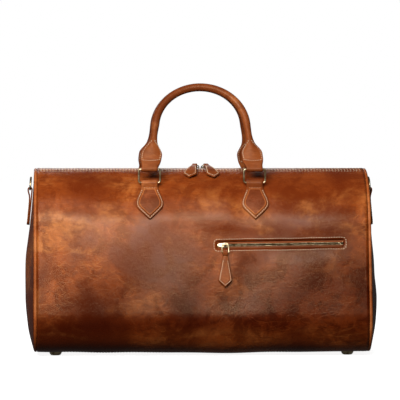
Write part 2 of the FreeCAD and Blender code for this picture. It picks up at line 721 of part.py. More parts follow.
for word, frame in (("front", FRONT), ("back", BACK)):
    for side in (-1, 1):
        hand = "left" if (side < 0) == (word == "front") else "right"
        handle_tab(f"handle_tab_{word}_{hand}", frame, side)
        wire_frame(f"ring_{word}_{hand}", RINGS[word] * shift(f"{side} * dims.ring_spread"),
                   "dims.ring_width", "dims.ring_reach", "dims.ring_corner",
                   "dims.ring_corner", "dims.ring_wire")
    handle(word, RINGS[word])


# ---- sliders with their wire loops and leather pulls ----

def kite_pull(body, role, along, top):
    """Trims a strip to a pull: narrow neck, widest near its end, blunt point."""
    neck, wide = "derived.pull_neck", "dims.pull_half_width"
    neck_end, waist = along("dims.pull_neck_length"), along("dims.pull_widest")
    keep_only(body, role, [(f"-{neck}", top), (f"-{neck}", neck_end), (f"-{wide}", waist),
                           ("0", along("dims.pull_length")), (wide, waist), (neck, neck_end),
                           (neck, top)])


def main_pull(word, side):
    """Hangs over the front shoulder, splayed to its own side."""
    x = f"{side} * (dims.slider_nose_gap + dims.slider_length / 2)"
    loop_x = f"-{side} * dims.bridge_shift"
    slider(f"main_slider_{word}", MAIN_ZIP, x, loop_x, "dims.slider_length",
           "dims.slider_half_width", MAIN[3])
    hinge = MAIN_ZIP * shift(f"{x} + {loop_x}", "0", loop_hinge(MAIN[3]))
    splay = turn(Z_AXIS, side * value("dims.pull_splay"))
    tilt = turn(X_AXIS, 90 - value("dims.loop_rise"))
    wire_frame(f"main_loop_{word}", hinge * splay * tilt, "dims.loop_width",
               "dims.main_loop_reach", "dims.loop_corner", "dims.loop_corner", "dims.loop_wire")
    reach, start, step = "derived.pull_reach", "derived.pull_start", "derived.pull_step"
    body = new_body(f"main_pull_{word}", shift(f"{x} + {loop_x}") * splay)
    profile = new_sketch(body, "YZ_Plane")
    band(profile, "derived.arch_height", f"{reach} - dims.pull_thickness / 2",
         f"{reach} + dims.pull_thickness / 2", start, f"{start} + dims.pull_length * {step}", "x")
    pad(body, profile, "2 * dims.pull_half_width")
    kite_pull(body, "XY_Plane", lambda s: f"-{reach} * sin({start} + {s} * {step})",
              "derived.pull_bar_y + 2 * derived.pull_sleeve")
    width = "2 * derived.pull_neck"
    fold = sleeve(body, ("derived.pull_bar_y", "derived.pull_bar_z"), "derived.pull_bore",
                  "dims.pull_leather", width)
    bore_out(body, fold, width)
    node(body, f"main_pull_{word}")


for side, word in ((-1, "left"), (1, "right")):
    main_pull(word, side)


def pocket_pull():
    """Hangs down the front face from the small slider."""
    x = "(dims.pocket_slider_start - dims.pocket_length / 2)"
    slider("pocket_slider", POCKET_ZIP, x, "dims.bridge_shift", "dims.pocket_slider_length",
           "dims.pocket_slider_half_width", SMALL[3])
    hinge = POCKET_ZIP * shift(f"{x} + dims.bridge_shift", "0", loop_hinge(SMALL[3]))
    hang = hinge * turn(X_AXIS, 90 - value("dims.pocket_loop_tilt"))
    wire_frame("pocket_loop", hang, "dims.loop_width", "dims.pocket_loop_reach",
               "dims.loop_corner", "dims.loop_corner", "dims.loop_wire")
    bar = hang.multVec(Vector(0, 0, value("dims.pocket_loop_reach")))
    down = POCKET_ZIP.Rotation * Rotation(Z_AXIS, -value("dims.pocket_pull_swing")) \
        * Rotation(X_AXIS, 90)
    body = new_body("pocket_pull", Placement(bar, down))
    profile = new_sketch(body, "XZ_Plane")
    half = "dims.pull_half_width"
    rectangle(profile, f"-{half}", "0", half, "dims.pull_length")
    pad(body, profile, "dims.pull_thickness")
    kite_pull(body, "XZ_Plane", lambda s: s, "-derived.pull_sleeve")
    width = "2 * derived.pull_neck"
    fold = sleeve(body, ("0", "0"), "derived.pull_bore", "dims.pull_leather", width)
    bore_out(body, fold, width)
    node(body, "pocket_pull")


pocket_pull()


# ---- strap rings: a D-ring in a leather chape on each end panel ----

def strap_ring(word, turned):
    """The chape is sewn to the end panel's slope, and its fold holds the ring's bar."""
    shoulder_z = ("(dims.bulge_height + (dims.shell_height - dims.leather"
                  " - dims.bulge_height) * dims.shoulder_scale)")
    shoulder_x = "(dims.seam_span / 2 + dims.piping_radius + dims.shoulder_bulge)"
    face = shift(shoulder_x, "0", shoulder_z) * turn(Y_AXIS, -value("derived.end_slope"))
    lift = "2 * dims.seat_gap"
    bar = face * shift(f"{lift} + derived.d_sleeve", "0", "dims.chape_lift")
    quarter = turn(Z_AXIS, 90)
    upright = Placement(bar.Base, Rotation(Y_AXIS, -value("dims.d_lean")))
    wire_frame(f"d_ring_{word}", turned * upright * quarter, "dims.d_width", "dims.d_reach",
               "dims.d_corner", "dims.d_bow", "dims.d_wire")
    body = new_body(f"chape_{word}", turned * bar * quarter)
    strip = new_sketch(body, "YZ_Plane")
    rectangle(strip, "0", "-dims.chape_length", "derived.d_sleeve", "0")
    pad(body, strip, "dims.chape_width")
    fold = sleeve(body, ("0", "0"), "derived.d_bore", "dims.leather", "dims.chape_width")
    bore_out(body, fold, "dims.chape_width")
    node(body, f"chape_{word}")


strap_ring("right", FRONT)
strap_ring("left", BACK)


# ---- build, check and write ----

doc.recompute()
for made in doc.Objects:
    if {"Invalid", "Error"} & set(made.State):
        raise ValueError(f"{made.Name} failed: {made.State}")
for piece in NODES:
    if piece.Shape.isNull() or not piece.Shape.isValid() or not piece.Shape.Solids:
        raise ValueError(f"{piece.Label} has no valid solid")

os.makedirs("parts", exist_ok=True)
for piece in NODES:
    piece.Shape.exportStep(f"parts/{piece.Label}.step")
print(len(NODES), "nodes written")
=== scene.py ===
import math
import bpy
import numpy as np
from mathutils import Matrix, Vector


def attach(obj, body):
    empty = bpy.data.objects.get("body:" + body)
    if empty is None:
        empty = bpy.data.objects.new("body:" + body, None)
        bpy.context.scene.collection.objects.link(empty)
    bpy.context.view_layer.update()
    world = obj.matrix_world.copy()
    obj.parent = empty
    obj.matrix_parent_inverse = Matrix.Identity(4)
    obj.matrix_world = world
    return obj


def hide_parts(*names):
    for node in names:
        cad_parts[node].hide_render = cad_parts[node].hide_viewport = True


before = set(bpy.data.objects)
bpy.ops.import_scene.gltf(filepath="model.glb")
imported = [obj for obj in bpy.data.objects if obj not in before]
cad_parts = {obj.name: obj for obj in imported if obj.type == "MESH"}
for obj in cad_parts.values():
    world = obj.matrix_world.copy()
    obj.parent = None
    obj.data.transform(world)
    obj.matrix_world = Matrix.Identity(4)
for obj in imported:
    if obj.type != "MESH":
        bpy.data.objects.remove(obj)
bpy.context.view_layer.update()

# ---- Front and back panels ----
# Each long side is one cut of waxed pull-up hide. It is bent over the arch at the top,
# stitched to the zip strip there and to the floor below, and the front one has a slot cut
# for the outside pocket. The hide sags in soft waves between its seams.
TILT = math.radians(11)
CORNER, CORNER_Y, CORNER_Z = 50.0, 75.0, 56.0
ARCH, ARCH_Z = 99.717, 181.283
HIDE = 2.0
HALF_LENGTH = 247.5
SIDE_TURN = math.pi / 2 + TILT
SIDE = (ARCH_Z + (ARCH - CORNER) * math.sin(TILT) - CORNER_Z) / math.cos(TILT)
CORNER_RUN = CORNER * SIDE_TURN
SIDE_RUN = CORNER_RUN + SIDE
CROWN_RUN = SIDE_RUN + ARCH * (math.pi - SIDE_TURN)
SEAM_RUN = CROWN_RUN - ARCH * math.asin(25.5 / ARCH)
LIP_RUN = CROWN_RUN - ARCH * math.asin(7 / ARCH)
POCKET_TURN = math.radians(0.9)
POCKET_X, POCKET_RUN, POCKET_RISE = 115.5, 192.4, math.tan(POCKET_TURN)
SLOT_HALF = 95
ENDS = (("left", -1), ("right", 1))


def eased(t):
    """0 below 0, 1 above 1, and 3t^2 - 2t^3 between them."""
    t = np.clip(t, 0, 1)
    return t * t * (3 - 2 * t)


def mound(x, y, half_x, half_y):
    """1 at the middle and nearly 0 outside a rounded box: exp(-(x/a)^4 - (y/b)^4)."""
    return np.exp(-(x / half_x) ** 4 - (y / half_y) ** 4)


def droop(x):
    """How far the floor hangs between the feet, in mm: a bow of cos^2 with two small waves."""
    bow = eased((205 - abs(x)) / 90)
    return bow * (1.3 + 0.5 * np.sin(x / 34 + 0.7) + 0.35 * np.sin(x / 17 - 1.1))


def section(run, lift=0.0):
    """Place and outward normal (y, z, ny, nz) on the front half of the section, where run is
    the length in mm from the bottom seam: a round corner turning 101 degrees, a straight
    side, and an arch about one centre. The place is pushed out along the normal by lift."""
    low = np.clip(run / CORNER, 0, SIDE_TURN)
    side = np.clip(run - CORNER_RUN, 0, SIDE)
    turn = low + np.maximum(run - SIDE_RUN, 0) / ARCH
    out_y, out_z = -np.sin(turn), -np.cos(turn)
    y = (-CORNER_Y - CORNER * np.sin(low) + side * math.sin(TILT)
         + ARCH * (np.sin(SIDE_TURN) + out_y) * (run > SIDE_RUN))
    z = (CORNER_Z - CORNER * np.cos(low) + side * math.cos(TILT)
         + ARCH * (np.cos(SIDE_TURN) + out_z) * (run > SIDE_RUN))
    return y + lift * out_y, z + lift * out_z, out_y, out_z


def on_side(x, run, lift=0.0):
    """Points n x 3 in mm on the front side, at x along the bag and run up its section."""
    x, run, lift = np.broadcast_arrays(x, run, lift)
    y, z, _, _ = section(run, lift)
    z = z - droop(x) * np.clip(1 - run / 70, 0, 1) ** 2
    return np.stack([x, y, z], -1)


def sag(x, run, side):
    """The hide's soft waves in mm: three crossed sine waves and a belly, faded out at the
    seams, the handle tabs, the pulls and the pocket, where it is held flat."""
    wave = (1.25 * np.sin(x / 61 + 0.6 * side) * np.sin(run / 43 + 0.8)
            + 0.8 * np.sin(x / 39 + run / 57 + 2.1 * side)
            + 0.5 * np.sin(x / 24 - run / 33 + 0.4) + 0.9)
    held = eased(np.minimum(np.minimum(HALF_LENGTH - abs(x), SEAM_RUN - run), run + 12) / 45)
    free = (1 - mound(abs(x) - 79, run - 262, 34, 44)) * (1 - mound(x, run - 330, 42, 50))
    if side > 0:
        free = free * (1 - mound(x - POCKET_X, run - POCKET_RUN, 122, 21))
        free = free * (1 - mound(x - 34, run - 160, 24, 44))
    return wave * held * free


def grid_faces(rows, columns, wrap=False):
    """Quads of a grid of points, row by row. With wrap, the last column meets the first."""
    i = np.arange(rows - 1)[:, None] * columns
    j = np.arange(columns if wrap else columns - 1)[None, :]
    k = (j + 1) % columns
    return np.stack([i + j, i + k, i + k + columns, i + j + columns], -1).reshape(-1, 4)


def piece(name, points, faces, body="bag", finish=None, nodes=(), uv=None):
    """A mesh from points in mm and a list of face arrays, turned so that its volume is
    positive, riding on a body and standing for its CAD nodes."""
    points = np.asarray(points, float).reshape(-1, 3)
    volume = 0.0
    for f in faces:
        for a in range(1, f.shape[1] - 1):
            p, q, r = points[f[:, 0]], points[f[:, a]], points[f[:, a + 1]]
            volume += np.einsum("ij,ij->", p, np.cross(q, r))
    rows = [row for f in faces for row in (f if volume > 0 else f[:, ::-1]).tolist()]
    mesh = bpy.data.meshes.new(name)
    mesh.from_pydata((points / 1000).tolist(), [], rows)
    mesh.polygons.foreach_set("use_smooth", np.ones(len(rows), bool))
    if uv is not None:
        loops = np.zeros(len(mesh.loops), np.int32)
        mesh.loops.foreach_get("vertex_index", loops)
        layer = mesh.uv_layers.new(name="along")
        layer.data.foreach_set("uv", np.asarray(uv, float).reshape(-1, 2)[loops].ravel())
    mesh.update()
    made = bpy.data.objects.new(name, mesh)
    bpy.context.scene.collection.objects.link(made)
    if finish is not None:
        mesh.materials.append(finish)
    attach(made, body)
    if len(nodes):
        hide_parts(*nodes)
    return made


def sheet_faces(rows, columns, keep=None):
    """Outer, inner and edge quads of a sheet whose outer and inner points are two grids one
    after the other. keep marks the cells that are not cut away."""
    outer = grid_faces(rows, columns)
    if keep is not None:
        outer = outer[keep.ravel()]
    edges = np.concatenate([outer[:, [a, (a + 1) % 4]] for a in range(4)])
    size = rows * columns
    code = edges[:, 0] * size + edges[:, 1]
    back = edges[:, 1] * size + edges[:, 0]
    rim = edges[~np.isin(code, back)]
    walls = np.stack([rim[:, 1], rim[:, 0], rim[:, 0] + size, rim[:, 1] + size], -1)
    return [outer, outer[:, ::-1] + size, walls]


def rgb(red, green, blue):
    """An 8-bit colour as the shader's linear values."""
    c = np.array([red, green, blue]) / 255
    return (*np.where(c > 0.04045, ((c + 0.055) / 1.055) ** 2.4, c / 12.92), 1.0)


class Field:
    """A number that varies over a surface, for writing shader maths as expressions."""

    def __init__(self, finish, socket):
        self.finish, self.socket = finish, socket

    def joined(self, operation, *others):
        """The result of a Math node fed by this field and the others, in their order."""
        return self.finish.node("ShaderNodeMath", dict(operation=operation),
                                {i: v for i, v in enumerate((self, *others))})

    def __add__(self, other):
        return self.joined("ADD", other)

    def __sub__(self, other):
        return self.joined("SUBTRACT", other)

    def __rsub__(self, other):
        return (self * -1).joined("ADD", other)

    def __mul__(self, other):
        return self.joined("MULTIPLY", other)

    def __abs__(self):
        return self.joined("ABSOLUTE")

    __radd__, __rmul__ = __add__, __mul__


class Finish:
    """A procedural material: a Principled shader and the fields that feed it."""

    def __init__(self, name, **fixed):
        """Starts the material, with constants for the shader's named sockets."""
        self.material = bpy.data.materials.new(name)
        self.material.use_nodes = True
        self.tree = self.material.node_tree
        self.shader = self.tree.nodes["Principled BSDF"]
        for socket, number in fixed.items():
            self.shader.inputs[socket.replace("_", " ")].default_value = number

    def node(self, kind, settings=(), sockets=(), out=0):
        """Adds a node, sets it up, fills its sockets and gives one output as a Field."""
        made = self.tree.nodes.new(kind)
        for key, setting in dict(settings).items():
            setattr(made, key, setting)
        for key, given in dict(sockets).items():
            self.put(made.inputs[key], given)
        return Field(self, made.outputs[out])

    def put(self, socket, given):
        """Links a Field to a socket, or sets the socket to a constant."""
        if isinstance(given, Field):
            self.tree.links.new(given.socket, socket)
        else:
            socket.default_value = given

    def place(self, scale=(1, 1, 1), turn=(0, 0, 0)):
        """Object coordinates, stretched and turned."""
        spot = self.node("ShaderNodeTexCoord", out="Object")
        return self.node("ShaderNodeMapping", (), {0: spot, 2: turn, 3: scale})

    def noise(self, place, scale, detail=3.0, rough=0.55, warp=0.0):
        """Fractal noise from 0 to 1, with scale features to a metre."""
        return self.node("ShaderNodeTexNoise", (), {
            "Vector": place, "Scale": scale, "Detail": detail, "Roughness": rough,
            "Distortion": warp})

    def step(self, field, start, end):
        """0 where field is below start, 1 above end, eased between them."""
        return self.node("ShaderNodeMapRange", dict(interpolation_type="SMOOTHSTEP"),
                         {0: field, 1: start, 2: end})

    def mix(self, factor, one, other, way="MIX"):
        """One colour at factor 0, the other (or, with MULTIPLY, their product) at factor 1."""
        settings = dict(data_type="RGBA", blend_type=way)
        return self.node("ShaderNodeMix", settings, {0: factor, 6: one, 7: other}, out=2)

    def bump(self, height, depth, strength=1.0):
        """A normal tilted by the slope of height times depth, where depth is in metres."""
        return self.node("ShaderNodeBump", (), {
            "Height": height, "Distance": depth, "Strength": strength})

    def give(self, **fields):
        """Feeds the shader's named sockets and gives back the finished material."""
        for socket, field in fields.items():
            self.put(self.shader.inputs[socket.replace("_", " ")], field)
        return self.material


def hide_finish(name, deep, middle, pale, painted_shade=1.0, gloss=0.27):
    """Waxed pull-up hide: wide clouds where oil has moved, darker patches and mottling, pale rub
    marks, fine scratches in three directions, and pores. painted_shade is how much shade is painted
    on low on the bag, more towards its right end, and along its top; gloss is the mean roughness."""
    f = Finish(name, Coat_Roughness=0.22, Specular_IOR_Level=0.22,
               Specular_Tint=(1.0, 0.66, 0.38, 1.0))
    spot = f.place()
    clouds = f.noise(spot, 7.5, 5.0, 0.52, 0.5)
    patches = f.noise(spot, 28.0, 6.0, 0.62, 0.6)
    rubs = f.noise(f.place((1.0, 1.0, 1.7), (0.2, 0.3, 0.5)), 12.0, 7.0, 0.58, 0.5)
    fine = f.noise(spot, 210.0, 5.0, 0.6)
    creases = f.noise(spot, 80.0, 6.0, 0.65, 1.0)
    colour = f.mix(f.step(clouds, 0.36, 0.66), deep, middle)
    colour = f.mix(f.step(rubs, 0.48, 0.72) * 0.6, colour, pale)
    colour = f.mix(f.step(patches, 0.52, 0.38) * 0.7, colour, deep)
    mottle = f.noise(f.place((1, 1.5, 1.5), (0.3, 0.6, 0.2)), 48.0, 5.0, 0.6, 0.8)
    colour = f.mix(f.step(mottle, 0.5, 0.34) * 0.5, colour, deep)
    lines = 0.0
    for turn, scale in (((0.1, 0.4, 0.9), 15), ((0.5, 1.2, 0.1), 11), ((0.3, 0.8, 2.1), 19)):
        streak = f.noise(f.place((1, 14, 1), turn), scale, 2.0, 0.5, 0.3)
        lines = lines + f.step(abs(streak - 0.5), 0.008, 0.001) * f.step(clouds, 0.42, 0.62)
    colour = f.mix(lines * 0.3, colour, pale)
    colour = f.mix(f.step(fine, 0.4, 0.62) * 0.16, colour, deep)
    colour = f.mix(f.step(creases, 0.46, 0.62) * 0.3, colour, deep)
    height = f.node("ShaderNodeSeparateXYZ", (), {0: spot}, out=2)
    along = f.node("ShaderNodeSeparateXYZ", (), {0: spot})
    # Painted shade: the colour is multiplied darker low on the bag and more towards its right end,
    # less on the floor itself, standing in for the shade where the light does not reach.
    low = f.step(height - 0.2 * along + 0.06 * (clouds - 0.5), 0.21, 0.045)
    low = low * (1 - 0.7 * f.step(height, 0.05, 0.015)) * painted_shade
    colour = f.mix(low, colour, (0.23, 0.13, 0.1, 1.0), "MULTIPLY")
    # Painted shade along the top of the bag, mixed towards the deep tone.
    colour = f.mix(f.step(height, 0.222, 0.25) * painted_shade * 0.35, colour, deep)
    pores = f.node("ShaderNodeTexVoronoi", dict(feature="F1"), {"Vector": spot, "Scale": 950.0})
    relief = pores * 0.25 + fine * 0.5 + creases * 1.2 - lines * 0.3
    rough = 0.3 * (patches - 0.5) + 0.16 * (fine - 0.5) + gloss + lines * 0.06
    sheen = f.step(patches, 0.4, 0.65) * 0.1 + 0.01
    return f.give(Base_Color=colour, Roughness=rough, Coat_Weight=sheen,
                  Normal=f.bump(relief, 0.0004, 0.55))


main_hide = hide_finish("main_hide", rgb(104, 38, 10), rgb(168, 80, 28), rgb(212, 130, 64))

slot_left, slot_right = POCKET_X - SLOT_HALF, POCKET_X + SLOT_HALF
columns = np.concatenate([np.linspace(-HALF_LENGTH, slot_left, 78)[:-1],
                          np.linspace(slot_left, slot_right, 57),
                          np.linspace(slot_right, HALF_LENGTH, 10)[1:]])
slot_low, slot_high = POCKET_RUN - 5.5, POCKET_RUN + 5.5
rows = np.concatenate([np.linspace(0, slot_low, 50), np.linspace(slot_low, slot_high, 5)[1:-1],
                       np.linspace(slot_high, SEAM_RUN, 42)])
run, across = np.meshgrid(rows, columns, indexing="ij")
skew = POCKET_RISE * np.clip(across - POCKET_X, -SLOT_HALF, SLOT_HALF)
run_front = run + skew * np.clip(1 - abs(run - POCKET_RUN) / 80, 0, 1)
mid_run = (rows[:-1] + rows[1:]) / 2
mid_x = (columns[:-1] + columns[1:]) / 2
slot = ((mid_run > slot_low) & (mid_run < slot_high))[:, None] & \
    ((mid_x > slot_left) & (mid_x < slot_right))[None, :]
for word, side, held_run, keep in (("front", 1, run_front, ~slot), ("back", -1, run, None)):
    swell = sag(across, held_run, side)
    skins = [on_side(across, held_run, swell - depth) for depth in (0, HIDE)]
    points = np.stack(skins) * ((1, 1, 1) if side > 0 else (-1, -1, 1))
    piece(f"{word}_panel_hide", points, sheet_faces(*run.shape, keep), "bag",
          main_hide, [f"{word}_panel"])

# ---- Thread ----
# Waxed cream thread, saddle stitched by hand. Each stitch lies on the hide with its ends
# sunk in the holes, and leans a little across its row.
f = Finish("cream_thread", Specular_IOR_Level=0.3)
spot = f.place()
strand = f.noise(f.place((1, 1, 1), (0.4, 0.5, 0.8)), 1500.0, 2.0)
thread_colour = f.mix(f.noise(spot, 60.0, 3.0), rgb(226, 196, 150), rgb(250, 236, 208))
cream_thread = f.give(Base_Color=thread_colour, Roughness=0.55 + 0.2 * strand,
                      Normal=f.bump(strand, 0.0002, 0.6))


def unit(v):
    """Each vector over its own length."""
    return v / np.linalg.norm(v, axis=-1, keepdims=True)


def stitches(name, rows, body="bag", pitch=4.0, length=3.0, radius=0.5, lean=0.5):
    """Stitches along rows, each a pair (points, outward normals). A stitch is an ellipsoid of
    revolution, 4 rings of 6 points and 2 tips, centred at equal lengths along its row."""
    rings = np.radians([28, 68, 112, 152])
    turn = np.arange(6) * math.pi / 3
    along = np.concatenate([[1], np.repeat(np.cos(rings), 6), [-1]]) * length / 2
    sides = np.concatenate([[0], np.outer(np.sin(rings), np.cos(turn)).ravel(), [0]]) * radius
    ups = np.concatenate([[0], np.outer(np.sin(rings), np.sin(turn)).ravel(), [0]]) * radius
    ring = np.arange(6)
    tips = np.concatenate([np.stack([0 * ring, 1 + ring, 1 + (ring + 1) % 6], -1),
                           np.stack([0 * ring + 25, 19 + (ring + 1) % 6, 19 + ring], -1)])
    walls = grid_faces(4, 6, True)[:, ::-1] + 1
    made, count = [], 0
    for path, up in rows:
        path, up = np.asarray(path, float), np.asarray(up, float)
        far = np.concatenate([[0], np.cumsum(np.linalg.norm(np.diff(path, axis=0), axis=1))])
        number = max(int(far[-1] / pitch), 1)
        centre_at = (np.arange(number) + 0.5) * far[-1] / number
        pick = [np.stack([np.interp(centre_at + d, far, path[:, k]) for k in range(3)], -1)
                for d in (-length / 2, 0, length / 2)]
        out = unit(np.stack([np.interp(centre_at, far, up[:, k]) for k in range(3)], -1))
        ahead = unit(pick[2] - pick[0])
        beside = unit(np.cross(out, ahead))
        ahead = unit(ahead + lean * beside)
        beside = unit(np.cross(out, ahead))
        made.append((pick[1][:, None] + ahead[:, None] * along[:, None]
                     + beside[:, None] * sides[:, None] + out[:, None] * ups[:, None]))
        count += number
    first = np.arange(count)[:, None, None] * 26
    return piece(name, np.concatenate(made), [(walls + first).reshape(-1, 4),
                 (tips + first).reshape(-1, 3)], body, cream_thread)


def side_row(x, run, lift=0.1, turned=1):
    """A stitch row over the front side, or with turned -1 over the back."""
    x, run = np.broadcast_arrays(x, run)
    _, _, out_y, out_z = section(run)
    flip = np.array([turned, turned, 1])
    return on_side(x, run, lift) * flip, np.stack([0 * out_y, out_y, out_z], -1) * flip


SEAM_STITCH = dict(pitch=4.6, length=3.0, radius=0.34)
long_x = np.linspace(-244, 244, 120)
stitches("panel_seam_stitches", [side_row(long_x, SEAM_RUN - 3, 0.1, turned)
         for turned in (1, -1)], **SEAM_STITCH)

# ---- Zip strips and zip ends ----
# Two narrow strips of the same hide edge the main zip, folded over its tapes, with a patch
# over each end of the chain. They are stitched down in two rows.
strip_run = np.linspace(SEAM_RUN, LIP_RUN, 9)
run, across = np.meshgrid(strip_run, np.linspace(-HALF_LENGTH, HALF_LENGTH, 90), indexing="ij")
proud = 0.35 * eased((run - SEAM_RUN) / 1.5)
for word, turned in (("front", 1), ("back", -1)):
    points = np.stack([on_side(across, run, proud - d) for d in (0, HIDE)])
    piece(f"zip_strip_{word}_hide", points * (turned, turned, 1), sheet_faces(*run.shape),
          "bag", main_hide, [f"zip_placket_{word}"])
stitches("zip_strip_stitches", [side_row(long_x, LIP_RUN - back, 0.45, turned)
         for turned in (1, -1) for back in (2.6, 15.5)], **SEAM_STITCH)

cross_y = np.linspace(-7, 7, 9)
for word, end in ENDS:
    x, y = np.meshgrid(np.linspace(227, HALF_LENGTH, 12), cross_y, indexing="ij")
    top = ARCH_Z + np.sqrt((ARCH + 0.3) ** 2 - y ** 2)
    points = np.stack([np.stack([end * x, y, top - d], -1) for d in (0, HIDE)])
    piece(f"zip_end_{word}_hide", points, sheet_faces(*x.shape), "bag",
          main_hide, [f"zip_end_{word}"])

# ---- End panels ----
# A tombstone-shaped cut of hide closes each end. It is sewn in under the piping and bulges
# softly, because nothing stiffens its middle.
END_MIDDLE = 110.0
END_FACE, DOME = 252.5, 12.4


def curve(t, knots, values):
    """A smooth curve through given values: cubic Hermite runs, with the slope at each knot
    that of the chord between its neighbours."""
    knots, values = np.asarray(knots, float), np.asarray(values, float)
    slope = np.gradient(values, knots)
    i = np.clip(np.searchsorted(knots, t, side="right") - 1, 0, len(knots) - 2)
    gap = knots[i + 1] - knots[i]
    u = np.clip((t - knots[i]) / gap, 0, 1)
    return ((2 * u ** 3 - 3 * u ** 2 + 1) * values[i] + (u ** 3 - 2 * u ** 2 + u) * gap * slope[i]
            + (3 * u ** 2 - 2 * u ** 3) * values[i + 1] + (u ** 3 - u ** 2) * gap * slope[i + 1])


def outline(inset, count=150):
    """The whole section as a closed ring of (y, z), inset from the hide's outer face."""
    run = np.linspace(0, CROWN_RUN, count)
    y, z, _, _ = section(run, -inset)
    floor = np.linspace(CORNER_Y, -CORNER_Y, 26)[1:-1]
    return np.concatenate([np.stack([y, z], -1), np.stack([-y, z], -1)[-2::-1],
                           np.stack([floor, 0 * floor + 6 + inset], -1)])


ring_yz = outline(2.0)
reach = np.linspace(1, 0, 34)[:-1]
above = curve(reach, [0, 0.25, 0.36, 0.5, 0.75, 0.9, 1.0], [DOME, 12.0, 9.8, 6.9, 2.6, 0.8, 0])
below = curve(reach, [0, 0.35, 0.53, 0.7, 0.89, 1.0], [DOME, 12.3, 11.0, 8.6, 3.4, 0])
share = eased((ring_yz[:, 1] - 60) / 120)
bulge = below[:, None] + share * (above - below)[:, None]
for word, end in ENDS:
    skins = []
    for depth in (0, HIDE):
        x = (END_FACE + bulge - depth) * end
        y = reach[:, None] * ring_yz[:, 0]
        z = END_MIDDLE + reach[:, None] * (ring_yz[:, 1] - END_MIDDLE)
        x = x + end * 0.7 * (1 - reach[:, None] ** 2) * np.sin(y / 31 + z / 38 + end)
        skins.append(np.stack([x, y, z], -1).reshape(-1, 3))
        skins.append(np.array([[end * (END_FACE + DOME - depth), 0, END_MIDDLE]]))
    count, size = len(ring_yz), len(ring_yz) * len(reach) + 1
    wall = grid_faces(len(reach), count, True)
    ring = np.arange(count)
    pole = np.stack([ring + size - 1 - count, (ring + 1) % count + size - 1 - count,
                     0 * ring + size - 1], -1)
    rim = np.stack([(ring + 1) % count, ring, ring + size, (ring + 1) % count + size], -1)
    piece(f"end_panel_{word}_hide", np.concatenate(skins),
          [wall, wall[:, ::-1] + size, rim, pole, pole[:, ::-1] + size], "bag",
          main_hide, [f"end_panel_{word}"])

# ---- Piping ----
# A welt of thin hide wrapped round a cord covers each end seam. Its hide is given a paler
# tone than the panels, and the wrap puckers slightly where it turns the corners.
trim_hide = hide_finish("trim_hide", rgb(104, 46, 18), rgb(154, 78, 34), rgb(200, 122, 66),
                        painted_shade=0.5, gloss=0.36)


def tube(path, radius, across, count=14):
    """A round tube: circles of points about a closed path, in the plane of its own normal and
    the across direction. radius is one number or one for each point."""
    ahead = unit(np.roll(path, -1, 0) - np.roll(path, 1, 0))
    across = unit(across - ahead * np.sum(across * ahead, -1, keepdims=True))
    up = np.cross(ahead, across)
    turn = np.arange(count) * 2 * math.pi / count
    radius = np.broadcast_to(radius, len(path))[:, None, None]
    return path[:, None] + radius * (np.cos(turn)[:, None] * across[:, None]
                                     + np.sin(turn)[:, None] * up[:, None])


def looped(grid):
    """Faces of a tube whose last circle meets its first."""
    rows, count = grid.shape[:2]
    whole = grid_faces(rows + 1, count, True)
    return [whole % (rows * count)]


def capped(grid):
    """Points and faces of a closed skin from rings of points, with a fan on each end."""
    rows, count = grid.shape[:2]
    points = np.concatenate([grid.reshape(-1, 3), grid[:1].mean(1), grid[-1:].mean(1)])
    ring = np.arange(count)
    fans = np.concatenate([
        np.stack([(ring + 1) % count, ring, 0 * ring + rows * count], -1),
        np.stack([ring, (ring + 1) % count, 0 * ring + rows * count + 1], -1)
        + np.array([(rows - 1) * count, (rows - 1) * count, 0])])
    return points, [grid_faces(rows, count, True), fans]


welt_hide = hide_finish("welt_hide", rgb(140, 66, 26), rgb(188, 100, 46), rgb(222, 146, 86),
                        painted_shade=0.3, gloss=0.36)
welt = outline(2.5, 190)
welt_run = np.cumsum(np.linalg.norm(welt - np.roll(welt, 1, 0), axis=1))
pucker = 2.5 + 0.06 * np.sin(welt_run / 2.1) * np.sin(welt_run / 37)
for word, end in ENDS:
    path = np.column_stack([np.full(len(welt), end * 250.0), welt])
    grid = tube(path, pucker, np.array([[1.0, 0, 0]]))
    piece(f"piping_{word}_welt", grid, looped(grid), "bag", welt_hide,
          [f"piping_{word}"])

# ---- Floor and feet ----
# The floor is a flat cut of hide, sewn to both sides along its long edges. Four metal studs
# go through it and the base board, and keep it off the ground.
run, across = np.meshgrid(np.linspace(-CORNER_Y, CORNER_Y, 24),
                          np.linspace(-HALF_LENGTH, HALF_LENGTH, 100), indexing="ij")
points = np.stack([np.stack([across, run, 6 + d - droop(across)], -1) for d in (0, HIDE)])
piece("bottom_panel_hide", points, sheet_faces(*run.shape), "bag",
      main_hide, ["bottom_panel"])
floor_row = [(np.stack([long_x, 0 * long_x + y, 5.9 - droop(long_x)], -1),
              np.tile([0.0, 0, -1], (len(long_x), 1))) for y in (-71.5, 71.5)]
stitches("floor_stitches", floor_row, pitch=4.4, length=3.2, radius=0.5)


def metal_finish(name, dark, bright, rough=0.3):
    """Antiqued brass: bright where it is rubbed, brown where the patina stays, with fine
    hairline marks."""
    f = Finish(name, Metallic=1.0, Specular_IOR_Level=0.5)
    spot = f.place()
    worn = f.noise(spot, 120.0, 4.0, 0.6, 0.5)
    marks = f.noise(f.place((1, 1, 8), (0.5, 0.2, 0.1)), 600.0, 3.0)
    colour = f.mix(f.step(worn, 0.35, 0.62), dark, bright)
    return f.give(Base_Color=colour, Roughness=rough + 0.18 * (marks - 0.5) + 0.12 * (0.6 - worn),
                  Normal=f.bump(marks, 0.0001, 0.35))


antique_brass = metal_finish("antique_brass", rgb(128, 104, 68), rgb(228, 208, 166))

